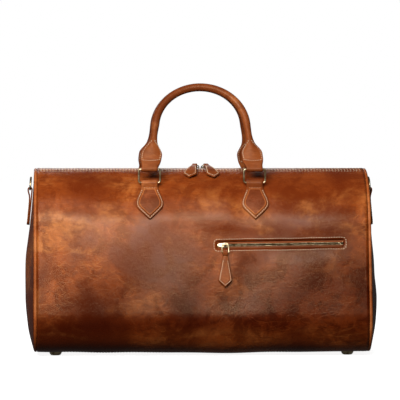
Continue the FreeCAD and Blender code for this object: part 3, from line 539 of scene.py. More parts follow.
FOOT_X, FOOT_Y, FLOOR_Z = 220, 58, 6
spin = np.arange(32) * math.pi / 16
foot_profile = np.array([[2.0, 8.0], [9.2, 8.0], [10.0, 7.4], [10.1, 6.2], [9.7, 5.0], [8.9, 3.2],
                         [8.0, 1.6], [7.0, 0.5], [5.4, 0.05], [2.5, 0.0]])
foot_profile[:, 1] = np.minimum(foot_profile[:, 1], FLOOR_Z - 0.05)
for row, y in (("front", -FOOT_Y), ("back", FOOT_Y)):
    for word, x in (("left", -FOOT_X), ("right", FOOT_X)):
        grid = np.stack([x + foot_profile[:, :1] * np.cos(spin),
                         y + foot_profile[:, :1] * np.sin(spin),
                         np.repeat(foot_profile[:, 1:], 32, 1)], -1)
        points, faces = capped(grid)
        piece(f"foot_{row}_{word}_stud", points, faces, "bag",
              antique_brass, [f"foot_{row}_{word}"])

# ---- Main zip ----
# Two woven tapes carry brass teeth and are sewn under the hide strips. Cast stops hold both
# ends of the chain.


def tape_finish(name, low, high):
    """Woven cotton tape: fine ribs across and finer picks along it."""
    f = Finish(name, Specular_IOR_Level=0.25)
    spot = f.place()
    ribs = f.node("ShaderNodeTexWave", dict(bands_direction="Z"), {"Vector": spot, "Scale": 190.0})
    picks = f.node("ShaderNodeTexWave", dict(bands_direction="X"), {"Vector": spot, "Scale": 330.0})
    weave = ribs * 0.6 + picks * 0.4
    return f.give(Base_Color=f.mix(weave, low, high), Roughness=0.95 - 0.2 * weave,
                  Normal=f.bump(weave, 0.0003, 0.8))


dark_tape = tape_finish("dark_tape", rgb(30, 18, 12), rgb(62, 40, 27))
MAIN_Z = 277.6
TAPE_LENGTH, CHAIN_LENGTH = 464, 444


def placed(points, origin, axes):
    """Points given in a frame of three unit axes at an origin, in the row frame."""
    return np.asarray(points, float) @ np.asarray(axes, float) + np.asarray(origin, float)


UPRIGHT = np.eye(3)
TURNED = np.diag([-1.0, -1.0, 1.0])
MAIN_ZIP = ((0, 0, MAIN_Z), UPRIGHT)


def zip_half(name, frame_at, side, length, near, far, thick, node, count=90,
             finish=None):
    """A tape: a thin sheet with a rolled bead beside the teeth, a sine bump 0.35 mm high."""
    x, y = np.meshgrid(np.linspace(-length / 2, length / 2, count),
                       np.linspace(near, far, 9), indexing="ij")
    bead = 0.35 * np.clip(1 - abs(y - near - 1.0), 0, 1)
    skins = [placed(np.stack([x, side * y, d * (thick / 2 + bead)], -1), *frame_at)
             for d in (1, -1)]
    return piece(name, np.stack(skins), sheet_faces(*x.shape), "bag",
                 finish or dark_tape, [node])


def teeth(name, frame_at, side, length, pitch, root, tip, thick, node):
    """Zip teeth, each a waisted block of 4 rings of 8 points with flat ends: a foot that
    grips the tape, a neck, and a wider head with bevelled corners."""
    reach = np.array([root, (root + tip) * 0.55, tip + 0.55, tip])
    half_x = np.array([0.36, 0.3, 0.34, 0.24]) * pitch
    half_z = np.array([0.5, 0.44, 0.5, 0.3]) * thick
    turn = np.radians([22, 68, 112, 158, 202, 248, 292, 338])
    ring_x = np.clip(1.35 * np.cos(turn), -1, 1)
    ring_z = np.clip(1.35 * np.sin(turn), -1, 1)
    grid = np.stack([half_x[:, None] * ring_x, np.repeat(side * reach[:, None], 8, 1),
                     half_z[:, None] * ring_z], -1)
    points, faces = capped(grid)
    at = np.arange(-length / 2 + pitch, length / 2 - pitch / 2, pitch) + side * pitch / 4
    shift = np.zeros((len(at), 1, 3))
    shift[:, 0, 0] = at
    first = np.arange(len(at))[:, None, None] * len(points)
    return piece(name, placed((points + shift).reshape(-1, 3), *frame_at),
                 [(f + first).reshape(-1, f.shape[1]) for f in faces], "bag",
                 antique_brass, [node])


for word, side in (("front", -1), ("back", 1)):
    zip_half(f"zip_tape_{word}_weave", MAIN_ZIP, side, TAPE_LENGTH, 3.0, 14, 0.6,
             f"main_zip_tape_{word}")
    teeth(f"zip_teeth_{word}_row", MAIN_ZIP, side, CHAIN_LENGTH, 3.0, 3.1, 0.55, 2.4,
          f"main_zip_teeth_{word}")

# ---- Handle tabs ----
# Four shields of doubled trim hide are stitched to the shoulders. A strap comes down from
# each handle ring's bar and is sewn in between the layers, and the shield's middle is
# padded inside its border.


def leaf(path, across, up, half, thick, relief=None, count=25):
    """A leather strip with rounded edges. Its ring of points at each station runs over the
    top and back under; the skin's height falls as a quarter circle within half a thickness
    of the edge, and relief, a function of edge distance and station, is added on top."""
    t = np.sin(np.linspace(-math.pi / 2, math.pi / 2, count))
    half, thick = (np.broadcast_to(v, len(path)).astype(float)[:, None] for v in (half, thick))
    slope = np.gradient(half[:, 0], arc_length(path))[:, None]
    edge = half * (1 - abs(t)) / np.sqrt(1 + slope ** 2)
    rise = np.sqrt(1 - (1 - np.clip(edge / (thick / 2), 0, 1)) ** 2) * thick / 2
    top = rise + (relief(edge, arc_length(path)[:, None]) if relief else 0)
    back = slice(-2, 0, -1)
    side = np.concatenate([half * t, (half * t)[:, back]], 1)
    high = np.concatenate([top, -rise[:, back]], 1)
    return path[:, None] + side[..., None] * across[:, None] + high[..., None] * up[:, None]


def arc_length(path):
    """Length along a path at each of its points."""
    return np.concatenate([[0], np.cumsum(np.linalg.norm(np.diff(path, axis=0), axis=1))])


def border_row(path, across, up, half, inset, height, start):
    """A stitch row inside a leaf's outline: down one side from the start length, round the
    tip where the two sides meet, and up the other."""
    length = arc_length(path)
    slope = np.gradient(half, length)
    inner = half - inset * np.sqrt(1 + slope ** 2)
    keep = (length >= start) & (inner > 0.4)
    line = path[keep] + height * up[keep]
    left = line - inner[keep][:, None] * across[keep]
    right = line + inner[keep][:, None] * across[keep]
    return [(np.concatenate([left, right[::-1]]), np.concatenate([up[keep], up[keep][::-1]]))]


def strip(points, thick, half, count=9):
    """A strap bent across its flat: rings over a path in the yz plane, across along x."""
    path = np.column_stack([np.zeros(len(points)), points])
    ahead = unit(np.gradient(path, axis=0))
    across = np.tile([1.0, 0, 0], (len(path), 1))
    return leaf(path, across, np.cross(across, ahead), half, thick, count=count)


def shield_relief(edge, run):
    """The shield's top, in mm: a border pressed down beside the stitches, a ridge where the
    padded middle begins, and a level middle."""
    inner = eased((edge - 3.7) / 1.0)
    ridge = np.exp(-((edge - 4.7) / 0.55) ** 2) * 0.25
    groove = np.exp(-((edge - 2.2) / 0.7) ** 2) * 0.25
    below = eased((run - 6) / 2)
    return below * (0.75 * inner + ridge - groove - 0.7)


RING_Y, RING_Z, RING_X = -71.0, 259.61, 79.0
RING_WIDTH, RING_REACH, RING_WIRE = 32, 20, 1.5
TAB_RADIUS = 101.85
RIDGE_INSET = 5.4
tab_run = np.concatenate([np.linspace(6, 54, 58), np.linspace(54.5, 59.4, 12)])
tab_half = curve(tab_run, [6, 10, 16, 24, 31, 36, 41, 47, 53, 57, 58.8, 59.5],
                 [12.5, 13.1, 15.0, 18.0, 20.2, 20.5, 19.0, 14.0, 8.0, 3.8, 1.8, 0.3])
ring_angle = math.atan2(-RING_Y, RING_Z - ARCH_Z)
angle = ring_angle + tab_run / ARCH
tab_up = np.column_stack([0 * angle, -np.sin(angle), np.cos(angle)])
tab_path = TAB_RADIUS * tab_up + [0, 0, ARCH_Z]
tab_across = np.tile([1.0, 0, 0], (len(angle), 1))
shield = leaf(tab_path, tab_across, tab_up, tab_half, 4.0, shield_relief, 41)
down = np.array([-math.cos(ring_angle), -math.sin(ring_angle)])
out = np.array([-math.sin(ring_angle), math.cos(ring_angle)])
bend = np.linspace(-math.pi / 2, -3 * math.pi / 2, 15)
fold_tr = np.concatenate([[[8, -4.2], [6, -3.7], [4, -3.2], [2, -2.95]],
                          2.9 * np.column_stack([np.cos(bend), np.sin(bend)]),
                          [[1.5, 2.7], [3, 1.4], [4.4, -0.5], [5.5, -2.1], [6.4, -3.5]]])
fold = strip(np.array([RING_Y, RING_Z]) + fold_tr[:, :1] * down + fold_tr[:, 1:] * out, 2.0, 12.5)
tab_rows = border_row(tab_path, tab_across, tab_up, tab_half, 2.3, 1.2, 2.5)
bar_x = np.linspace(-9.8, 9.8, 12)
at = np.argmin(abs(tab_run - 8.8))
tab_rows.append((tab_path[at] + bar_x[:, None] * [1, 0, 0] + 1.6 * tab_up[at],
                 np.tile(tab_up[at], (12, 1))))
edge_path = border_row(tab_path, tab_across, tab_up, tab_half, RIDGE_INSET, 2.0, 4.5)[0][0]
even = np.linspace(0, arc_length(edge_path)[-1], 120)
edge_path = np.column_stack([np.interp(even, arc_length(edge_path), edge_path[:, k])
                             for k in range(3)])
edge_path = np.concatenate([edge_path, np.linspace(edge_path[-1], edge_path[0], 16)[1:-1]])
ridge = tube(edge_path, 0.75, np.array([[0, -0.9, 0.43]]), 8)
inlay_run = tab_run[(tab_run > 10) & (tab_run < 52.5)]
inlay_half = np.interp(inlay_run, tab_run, tab_half)
inlay_half = inlay_half - RIDGE_INSET * np.sqrt(1 + np.gradient(inlay_half, inlay_run) ** 2)
inlay = leaf(*(np.column_stack([np.interp(inlay_run, tab_run, a[:, k]) for k in range(3)])
               for a in (tab_path + 1.75 * tab_up, tab_across, tab_up)),
             np.maximum(inlay_half, 0.3), 1.0)
# The ridge round the padded middle gets a paler hide as a painted highlight, the light caught on
# its raised edge.
ridge_highlight = hide_finish("ridge_highlight", rgb(150, 78, 36), rgb(206, 122, 62), rgb(232, 158, 92),
                        painted_shade=0.3)
inlay_hide = hide_finish("inlay_hide", rgb(96, 42, 18), rgb(142, 68, 36), rgb(180, 104, 62),
                         painted_shade=0.3)
for row, turned in (("front", 1), ("back", -1)):
    flip = np.array([turned, turned, 1])
    for word, side in (("left", -turned), ("right", turned)):
        name, shift = f"handle_tab_{row}_{word}", np.array([side * RING_X, 0, 0])
        points, faces = capped(shield + shift)
        piece(f"{name}_shield", points * flip, faces, "bag", trim_hide, [name])
        piece(f"{name}_ridge", (ridge + shift) * flip, looped(ridge), "bag",
              ridge_highlight)
        points, faces = capped(inlay + shift)
        piece(f"{name}_inlay", points * flip, faces, "bag", inlay_hide)
        points, faces = capped(fold + shift)
        piece(f"{name}_fold", points * flip, faces, "bag", trim_hide)
        stitches(f"{name}_stitches", [((path + shift) * flip, up * flip)
                                      for path, up in tab_rows], pitch=3.5, length=2.1, radius=0.55)

# ---- Handle rings ----
# Rectangular rings bent from 3 mm brass wire, with one butt joint brazed and filed smooth,
# tilt in the folds of the tabs and carry the handles.


def wire_path(width, reach, low, top, steps=9):
    """The centre line of a bent wire frame in its own xz plane: a lower bar on x, two
    corners of radius low, and two of radius top at its reach."""
    corners = [(width / 2 - low, low, low, -90), (width / 2 - top, reach - top, top, 0),
               (top - width / 2, reach - top, top, 90), (low - width / 2, low, low, 180)]
    arcs = []
    for x, z, radius, start in corners:
        turn = np.radians(start + np.linspace(0, 90, steps))
        arcs.append(np.column_stack([x + radius * np.cos(turn), 0 * turn,
                                     z + radius * np.sin(turn)]))
    runs = [np.linspace(arcs[k][-1], arcs[(k + 1) % 4][0], 10)[1:-1] for k in range(4)]
    return np.concatenate([part for pair in zip(arcs, runs) for part in pair])


def wire_frame(name, path, radius, origin, axes, body, nodes, count=14):
    """A closed bent wire, placed by its frame."""
    grid = placed(tube(path, radius, np.array([[0, 1.0, 0]]), count), origin, axes)
    return piece(name, grid, looped(grid), body, antique_brass, nodes)


ring_path = wire_path(RING_WIDTH, RING_REACH, 3, 3)
for row, axes in (("front", UPRIGHT), ("back", TURNED)):
    flip = axes[0, 0]
    for word, side in ENDS:
        wire_frame(f"ring_{row}_{word}_wire", ring_path, RING_WIRE,
                   (side * RING_X, flip * RING_Y, RING_Z), axes, f"ring_{row}_{word}",
                   [f"ring_{row}_{word}"])

# ---- Handles ----
# Each handle is one piece of trim hide rolled round a rope core and sewn along its inside.
# Its ends open into flat leaves, stitched down both edges, and a strap from each leaf folds
# round a ring.
LEG, HANDLE_REACH = math.radians(7.5), 140.0
ROLL, HANDLE_GAP = 6.0, 1.0
BOW = (RING_X * math.cos(LEG) - HANDLE_REACH * math.sin(LEG)) / (1 - math.sin(LEG))
BOW_CENTRE = HANDLE_REACH - BOW
HANDLE_LEAN = math.asin((-RING_Y - ROLL - HANDLE_GAP) / HANDLE_REACH)
leg_run = np.linspace(4.0, BOW_CENTRE + BOW * math.sin(LEG), 54)
leg = np.column_stack([RING_X - leg_run * math.tan(LEG), 0 * leg_run, leg_run])
around = np.linspace(LEG, math.pi - LEG, 72)[1:-1]
bow = np.column_stack([BOW * np.cos(around), 0 * around, BOW_CENTRE + BOW * np.sin(around)])
line = np.concatenate([leg, bow, (leg * [-1, 1, 1])[::-1]])
height = line[:, 2]
on_leg = np.concatenate([np.ones(len(leg)), np.zeros(len(bow)), np.ones(len(leg))])
half_line = np.where(on_leg > 0, curve(height, [4, 8, 12.5, 20, 29, 34, 39, 44, 49, 80],
                     [12.6, 13.7, 15.1, 15.9, 15.4, 13.0, 9.7, 7.2, 6.1, ROLL]), ROLL)
round_part = np.where(on_leg > 0, eased((height - 31) / 16), 1.0)[:, None]
ahead = unit(np.gradient(line, axis=0))
forward = np.tile([0.0, -1.0, 0], (len(line), 1))
sideways = np.cross(ahead, forward)
t = np.sin(np.linspace(-math.pi / 2, math.pi / 2, 23))
edge = half_line[:, None] * (1 - abs(t))
strap = (1 - eased((height - 7) / 11))[:, None]
flat = np.sqrt(1 - (1 - np.clip(edge / 1.7, 0, 1)) ** 2) * (
    1.9 + 1.75 * strap
    + (1 - strap) * (1.2 + 2.6 * eased((height - 14) / 24))[:, None] * (1 - t * t) ** 1.6
    - 0.3 * (1 - strap) * np.exp(-((edge - 2.3) / 0.8) ** 2))
puff = 0.06 * np.sin(arc_length(line) / 3.1)[:, None] * np.sin(arc_length(line) / 23)[:, None]
swell = (1 - round_part) * flat + round_part * (ROLL + puff) * np.sqrt(1 - t * t)
over = np.concatenate([half_line[:, None] * t, (half_line[:, None] * t)[:, -2:0:-1]], 1)
high = np.concatenate([swell, -swell[:, -2:0:-1]], 1)
handle_skin = (line[:, None] + over[..., None] * sideways[:, None]
               + high[..., None] * forward[:, None])
bend = np.linspace(0, -math.pi, 15)
fold_ns = np.concatenate([[[2.3, 9], [2.6, 6.5], [2.8, 4.5], [2.9, 2]],
                          2.9 * np.column_stack([np.cos(bend), np.sin(bend)]),
                          [[-2.9, 2], [-2.8, 4.5], [-2.6, 6.5], [-2.3, 9]]])
handle_fold = strip(fold_ns * [-1, 1], 2.0, 12.5)
shear = np.stack([-handle_fold[..., 2] * math.tan(LEG) * (handle_fold[..., 2] > 0),
                  0 * handle_fold[..., 2], 0 * handle_fold[..., 2]], -1)
leaf_rows = []
for side in (1, -1):
    for face in (1, -1):
        pick = (height > 13.6) & (height < 47) & (on_leg > 0) & (line[:, 0] * side > 0)
        order = np.argsort(height[pick])
        path, half = line[pick][order], half_line[pick][order]
        rows_run = height[pick][order]
        inner = half - 2.3 - 1.7 * eased((rows_run - 38) / 8)
        rise = np.array([np.interp(i / h, t[11:], s[11:]) for i, h, s in zip(
            inner, half, swell[pick][order])])
        for hand in (1, -1):
            row = path + np.column_stack([hand * inner, -face * (rise + 0.05), 0 * inner])
            leaf_rows.append((row, np.tile([0.0, -face, 0], (len(row), 1))))
        x = np.linspace(-12.6, 12.6, 14)
        low = np.column_stack([x + side * (RING_X - 13.3 * math.tan(LEG)), 0 * x - face * 3.35,
                               13.3 + 0.008 * x * x])
        leaf_rows.append((low, np.tile([0.0, -face, 0], (14, 1))))
lean_axes = np.array([[1, 0, 0], [0, math.cos(HANDLE_LEAN), -math.sin(HANDLE_LEAN)],
                      [0, math.sin(HANDLE_LEAN), math.cos(HANDLE_LEAN)]])
for word, axes in (("front", lean_axes), ("back", lean_axes @ TURNED)):
    origin = (0, RING_Y * (1 if word == "front" else -1), RING_Z + RING_REACH)
    points, faces = capped(handle_skin)
    piece(f"{word}_handle_roll", placed(points, origin, axes), faces, f"{word}_handle",
          trim_hide, [f"{word}_handle"])
    for hand, side in ENDS:
        points, faces = capped((handle_fold + shear) * [side, 1, 1] + [side * RING_X, 0, 0])
        piece(f"{word}_handle_fold_{hand}", placed(points, origin, axes), faces,
              f"{word}_handle", trim_hide)
    turned_rows = [(placed(path, origin, axes), up @ axes) for path, up in leaf_rows]
    stitches(f"{word}_handle_stitches", turned_rows, f"{word}_handle", pitch=3.4, length=2.0,
             radius=0.5)

# ---- Main sliders, wire loops and pulls ----
# Two die-cast sliders meet at the middle of the main zip. A bent wire loop turns in each
# one's bridge and holds a folded kite of trim hide, stitched round its border.
HINGE_RISE = 3.3


def slider(name, frame_at, x, loop_x, length, half_width, half_chain, node):
    """A slider's two plates, waisted towards the tail, its web, and the arched bridge."""
    made = []
    run = np.linspace(-length / 2, length / 2, 21)
    lead = 1.0 if x > 0 or node == "pocket_slider" else -1.0
    width = half_width * (0.8 + 0.2 * eased((run * lead / length + 0.35) / 0.5))
    width *= np.sqrt(np.clip(1 - (abs(run) / (length / 2)) ** 6, 0.04, 1))
    path = np.column_stack([x + run, 0 * run, 0 * run])
    across, up = np.tile([0, 1.0, 0], (21, 1)), np.tile([0, 0, 1.0], (21, 1))
    gap = half_chain + 0.3 + 0.65
    parts = [capped(leaf(path + [0, 0, s * gap], across, up, width, 1.3, count=13))
             for s in (1, -1)]
    web_x, web_y = np.array([-1, 1, 1, -1]) * length * 0.28, np.array([-1, -1, 1, 1]) * 0.38
    web = np.stack([np.column_stack([x + web_x, web_y, np.full(4, z)]) for z in (-gap, gap)])
    parts.append(capped(web))
    turn = np.radians(np.linspace(-38, 218, 19))
    hole = half_chain + HINGE_RISE
    arch = np.column_stack([np.full(19, x + loop_x), 1.87 * np.cos(turn),
                            hole + 1.87 * np.sin(turn)])
    ahead = unit(np.gradient(arch, axis=0))
    side = np.tile([1.0, 0, 0], (19, 1))
    half = 1.3 + 0.4 * np.abs(np.cos(turn)) ** 3
    parts.append(capped(leaf(arch, side, np.cross(side, ahead), half, 0.9, count=9)))
    first, points, faces = 0, [], []
    for part_points, part_faces in parts:
        if signed(part_points, part_faces).sum() < 0:
            part_faces = [f[:, ::-1] for f in part_faces]
        points.append(part_points)
        faces += [f + first for f in part_faces]
        first += len(part_points)
    return piece(name, placed(np.concatenate(points), *frame_at), faces, node,
                 antique_brass, [node])


def signed(points, faces):
    """Six times the volume inside each fan of triangles of a closed skin."""
    return np.concatenate([np.einsum("ij,ij->i", points[f[:, 0]], np.cross(
        points[f[:, a]], points[f[:, a + 1]])) for f in faces for a in range(1, f.shape[1] - 1)])


LOOP_RISE, SPLAY = math.radians(17), math.radians(13)
LOOP_REACH, LOOP_WIRE = 11, 0.8
MAIN_SLIDER_X, MAIN_LOOP_X = 9, 6
loop_path = wire_path(10, LOOP_REACH, 1.6, 1.6, 6)
hinge_z = MAIN_Z + 1.2 + HINGE_RISE
bar_y = -LOOP_REACH * math.cos(LOOP_RISE)
bar_z = hinge_z + LOOP_REACH * math.sin(LOOP_RISE)
pull_r = math.hypot(bar_y, bar_z - ARCH_Z)
pull_a = math.atan2(-bar_y, bar_z - ARCH_Z)
KITE_RUN = np.concatenate([np.linspace(3.2, 38, 36), np.linspace(38.5, 51.9, 30)])
KITE_HALF = curve(KITE_RUN, [3.2, 8, 24, 38.5, 41.5, 43.5, 47, 50, 51.3, 52],
                  [3.6, 4.4, 7.2, 9.8, 10.15, 9.2, 5.7, 2.5, 1.2, 0.3])


def kite_relief(edge, run):
    """A groove pressed along the stitches and a slight crown inside it, in mm."""
    groove = np.exp(-((edge - 1.9) / 0.5) ** 2) * 0.16
    return 0.12 * eased((edge - 2.4) / 1.2) - groove


def pull(body, path, across, up, fold, centre, axes):
    """A kite of doubled trim hide with its border stitches, and its strap's fold round the
    loop's bar, all given in a frame of three axes at a centre."""
    points, faces = capped(leaf(path, across, up, KITE_HALF, 3.2, kite_relief, 25))
    piece(f"{body}_kite", placed(points, centre, axes), faces, body,
          trim_hide, [body])
    points, faces = capped(strip(fold, 1.5, 3.6))
    piece(f"{body}_fold", placed(points, centre, axes), faces, body,
          trim_hide)
    rows = border_row(path, across, up, KITE_HALF, 1.9, 1.5, 8)
    stitches(f"{body}_stitches", [(placed(p, centre, axes), u @ axes) for p, u in rows],
             body, pitch=2.8, length=1.9, radius=0.42)


def pull_fold(radius=2.15):
    """The strap's fold round the loop's bar: a half turn with two short tails."""
    bend = np.linspace(math.pi, 0, 13)
    turned = radius * np.column_stack([np.cos(bend), np.sin(bend)])
    return np.concatenate([[[-0.95, -5.2], [-1.5, -3.2], [-2.0, -1.2]], turned,
                           [[2.0, -1.2], [1.5, -3.2], [0.95, -5.2]]])


for word, side in ENDS:
    x, loop_x = side * MAIN_SLIDER_X, side * MAIN_LOOP_X
    slider(f"main_slider_{word}_casting", MAIN_ZIP, x, loop_x - x, 16, 5.5, 1.2,
           f"main_slider_{word}")
    turn = side * SPLAY
    spin_z = np.array([[math.cos(turn), math.sin(turn), 0],
                       [-math.sin(turn), math.cos(turn), 0], [0, 0, 1]])
    tilt = math.pi / 2 - LOOP_RISE
    rise_x = np.array([[1, 0, 0], [0, math.cos(tilt), math.sin(tilt)],
                       [0, -math.sin(tilt), math.cos(tilt)]])
    wire_frame(f"main_loop_{word}_wire", loop_path, LOOP_WIRE, (loop_x, 0, hinge_z),
               rise_x @ spin_z, f"main_loop_{word}", [f"main_loop_{word}"], 10)
    angle = pull_a + KITE_RUN / pull_r
    up = np.column_stack([0 * angle, -np.sin(angle), np.cos(angle)])
    across = np.tile([1.0, 0, 0], (len(angle), 1))
    centre = np.array([loop_x, 0, ARCH_Z])
    path = pull_r * up
    fold_yz = pull_fold() @ np.array([[-math.sin(pull_a), math.cos(pull_a)],
                                      [math.cos(pull_a), math.sin(pull_a)]])
    pull(f"main_pull_{word}", path, across, up, fold_yz + [bar_y, bar_z - ARCH_Z], centre,
         spin_z)

# ---- Outside pocket ----
# A slot in the front hide is closed by a fine brass zip whose tapes are sewn behind it. A
# row of thread runs round the slot, a narrow facing edges its lower lip, and the slider's
# loop carries a smaller folded pull.
FACE = math.pi / 2 - TILT
POCKET_TAPE = 210
face_axes = np.array([[math.cos(POCKET_TURN), math.sin(POCKET_TURN), 0],
                      [-math.sin(POCKET_TURN), math.cos(POCKET_TURN), 0], [0, 0, 1]]) @ np.array([
                          [1, 0, 0], [0, math.cos(FACE), math.sin(FACE)],
                          [0, -math.sin(FACE), math.cos(FACE)]])
FACE_AT = np.array([POCKET_X, -104.178, 167.913])
ZIP_AT = FACE_AT - 2.4 * face_axes[2]
pocket_tape = tape_finish("rust_tape", rgb(120, 58, 26), rgb(162, 88, 46))
for word, side in (("lower", -1), ("upper", 1)):
    zip_half(f"pocket_tape_{word}_weave", (ZIP_AT, face_axes), side, POCKET_TAPE, 2.0, 11, 0.6,
             f"pocket_zip_tape_{word}", 50, pocket_tape)
    teeth(f"pocket_teeth_{word}_row", (ZIP_AT, face_axes), side, 2 * SLOT_HALF, 2.0, 2.05, 0.5, 2.0,
          f"pocket_zip_teeth_{word}")
edge_x = np.linspace(-94.8, 94.8, 60)
path = np.column_stack([edge_x, 0 * edge_x - 3.85, 0 * edge_x - 1.65])
points, faces = capped(leaf(path, np.tile([0, 1.0, 0], (60, 1)), np.tile([0, 0, 1.0], (60, 1)),
                            1.5, 0.6, count=9))
piece("pocket_facing_edge", placed(points, FACE_AT, face_axes), faces, "bag",
      trim_hide, ["pocket_facing"])
turn = np.linspace(0, math.pi / 2, 7)
corners = [(x, y, np.radians(a) + turn) for x, y, a in
           ((93.5, 3.2, 0), (-93.5, 3.2, 90), (-93.5, -3.2, 180), (93.5, -3.2, 270))]
ring = np.concatenate([np.column_stack([x + 5.5 * np.cos(a), y + 5.5 * np.sin(a)])
                       for x, y, a in corners])
ring = np.concatenate([ring, ring[:1]])
far = arc_length(ring)
even = np.linspace(0, far[-1], 400)
ring = np.column_stack([np.interp(even, far, ring[:, k]) for k in (0, 1)])
wander = 0.25 * np.sin(even / 19) + 0.15 * np.sin(even / 7.3)
ring_path = np.column_stack([ring[:, 0], ring[:, 1] + wander, 0 * even + 0.1])
stitches("pocket_stitches", [(placed(ring_path, FACE_AT, face_axes),
         np.tile(face_axes[2], (400, 1)))], pitch=3.8, length=2.2, radius=0.55)
SLIDER_X = 9.5 - SLOT_HALF
POCKET_LOOP_REACH = 12
slider("pocket_slider_casting", (ZIP_AT, face_axes), SLIDER_X, 3, 17, 3.75, 1.0,
       "pocket_slider")
HANG, SWING = math.radians(90 - 9), math.radians(1.8)
loop_axes = np.array([[1, 0, 0], [0, math.cos(HANG), math.sin(HANG)],
                      [0, -math.sin(HANG), math.cos(HANG)]]) @ face_axes
hinge = ZIP_AT + np.array([SLIDER_X + 3, 0, 1.0 + HINGE_RISE]) @ face_axes
wire_frame("pocket_loop_wire", wire_path(10, POCKET_LOOP_REACH, 1.6, 1.6, 6), LOOP_WIRE,
           hinge, loop_axes, "pocket_loop", ["pocket_loop"], 10)
bar = hinge + POCKET_LOOP_REACH * loop_axes[2]
pull_axes = np.array([[math.cos(SWING), -math.sin(SWING), 0],
                      [math.sin(SWING), math.cos(SWING), 0], [0, 0, 1]]) @ face_axes
path = np.column_stack([0 * KITE_RUN, -KITE_RUN, 0 * KITE_RUN])
across, up = np.tile([1.0, 0, 0], (len(path), 1)), np.tile([0, 0, 1.0], (len(path), 1))
pull("pocket_pull", path, across, up, pull_fold() @ np.array([[0, 1.0], [1.0, 0]]), bar,
     pull_axes)

# ---- Chapes and D-rings ----
# A strap of trim hide folded round a brass D-ring is stitched high on each end panel.
CHAPE_ROUND = 7.0
D_X, D_Z, END_SLOPE, D_LEAN = 258.51, 248.87, math.radians(5.4), math.radians(4)
d_path = wire_path(26, 18, 3, 12.9, 12)
d_axes = np.array([[0, 1.0, 0], [-math.cos(D_LEAN), 0, -math.sin(D_LEAN)],
                   [-math.sin(D_LEAN), 0, math.cos(D_LEAN)]])
chape_axes = np.array([[0, 1.0, 0], [-math.cos(END_SLOPE), 0, -math.sin(END_SLOPE)],
                       [-math.sin(END_SLOPE), 0, math.cos(END_SLOPE)]])
bend = np.linspace(math.pi, 0, 13)
chape_yz = np.concatenate([[[3.1, -54], [3.1, -14], [3.0, -4]],
                           2.9 * np.column_stack([-np.cos(bend), np.sin(bend)]),
                           [[-2.7, -2.5], [-1.6, -5.5], [-0.2, -9.5], [0.7, -14],
                            [0.95, -20], [0.95, -54]]])
far = arc_length(chape_yz)
chape_run = np.linspace(0, far[-1], 150)
chape_yz = np.column_stack([np.interp(chape_run, far, chape_yz[:, k]) for k in (0, 1)])
to_end = np.minimum(chape_run, far[-1] - chape_run)
chape_half = 11 - CHAPE_ROUND * (1 - np.sqrt(1 - (1 - np.clip(to_end / CHAPE_ROUND, 0, 1)) ** 2))
chape = strip(chape_yz, 2.1, chape_half)
front_leg = chape_run > far[-1] - 39
chape_path = np.column_stack([0 * chape_run, chape_yz])[front_leg]
chape_rows = border_row(chape_path, np.tile([1.0, 0, 0], (len(chape_path), 1)),
                        np.tile([0, -1.0, 0], (len(chape_path), 1)), chape_half[front_leg],
                        2.3, 1.1, 0.0)
chape_rows.append((np.column_stack([np.linspace(-8.5, 8.5, 10), np.full(10, -0.45),
                                    np.full(10, -15.0)]), np.tile([0, -1.0, 0], (10, 1))))
for word, axes in (("right", UPRIGHT), ("left", TURNED)):
    bar = np.array([D_X * axes[0, 0], 0, D_Z])
    wire_frame(f"d_ring_{word}_wire", d_path, RING_WIRE, bar, d_axes @ axes, f"d_ring_{word}",
               [f"d_ring_{word}"])
    points, faces = capped(chape)
    piece(f"chape_{word}_strap", placed(points, bar, chape_axes @ axes), faces, "bag",
          trim_hide, [f"chape_{word}"])
    stitches(f"chape_{word}_stitches", [(placed(path, bar, chape_axes @ axes),
             up @ chape_axes @ axes) for path, up in chape_rows], pitch=3.5, length=2.2)

# ---- Inside and hidden parts ----
# A cotton lining and pocket pouch, a fibre base board, the studs' washers and the zip's end
# stops in brass, and the rope cores of the handles keep their plain shapes.
f = Finish("lining_cloth", Specular_IOR_Level=0.2)
spot = f.place()
warp = f.node("ShaderNodeTexWave", dict(bands_direction="X"), {"Vector": spot, "Scale": 260.0})
weft = f.node("ShaderNodeTexWave", dict(bands_direction="Z"), {"Vector": spot, "Scale": 260.0})
cloth = warp * 0.5 + weft * 0.5
lining_finish = f.give(Base_Color=f.mix(cloth, rgb(58, 40, 28), rgb(86, 63, 45)),
                       Roughness=0.9 - 0.1 * cloth, Normal=f.bump(cloth, 0.0002, 0.6))
f = Finish("base_board", Specular_IOR_Level=0.2)
fibre = f.noise(f.place((1, 3, 1)), 240.0, 6.0, 0.7)
board_finish = f.give(Base_Color=f.mix(fibre, rgb(112, 84, 58), rgb(152, 122, 90)),
                      Roughness=0.75 + 0.2 * fibre, Normal=f.bump(fibre, 0.0003, 0.5))
f = Finish("rope_core", Specular_IOR_Level=0.2)
lay = f.node("ShaderNodeTexWave", dict(bands_direction="DIAGONAL"),
             {"Vector": f.place(), "Scale": 120.0, "Distortion": 2.0})
rope_finish = f.give(Base_Color=f.mix(lay, rgb(150, 126, 92), rgb(196, 174, 138)),
                     Roughness=0.8 + 0.1 * lay, Normal=f.bump(lay, 0.0006, 0.7))
for finish, names in ((lining_finish, ["lining", "pocket_pouch"]),
                      (board_finish, ["base_board"]), (antique_brass, ["foot_washers",
                      "main_zip_stops"]), (rope_finish, ["front_handle_core",
                      "back_handle_core"])):
    for name in names:
        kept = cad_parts[name]
        kept.data.materials.clear()
        kept.data.materials.append(finish)

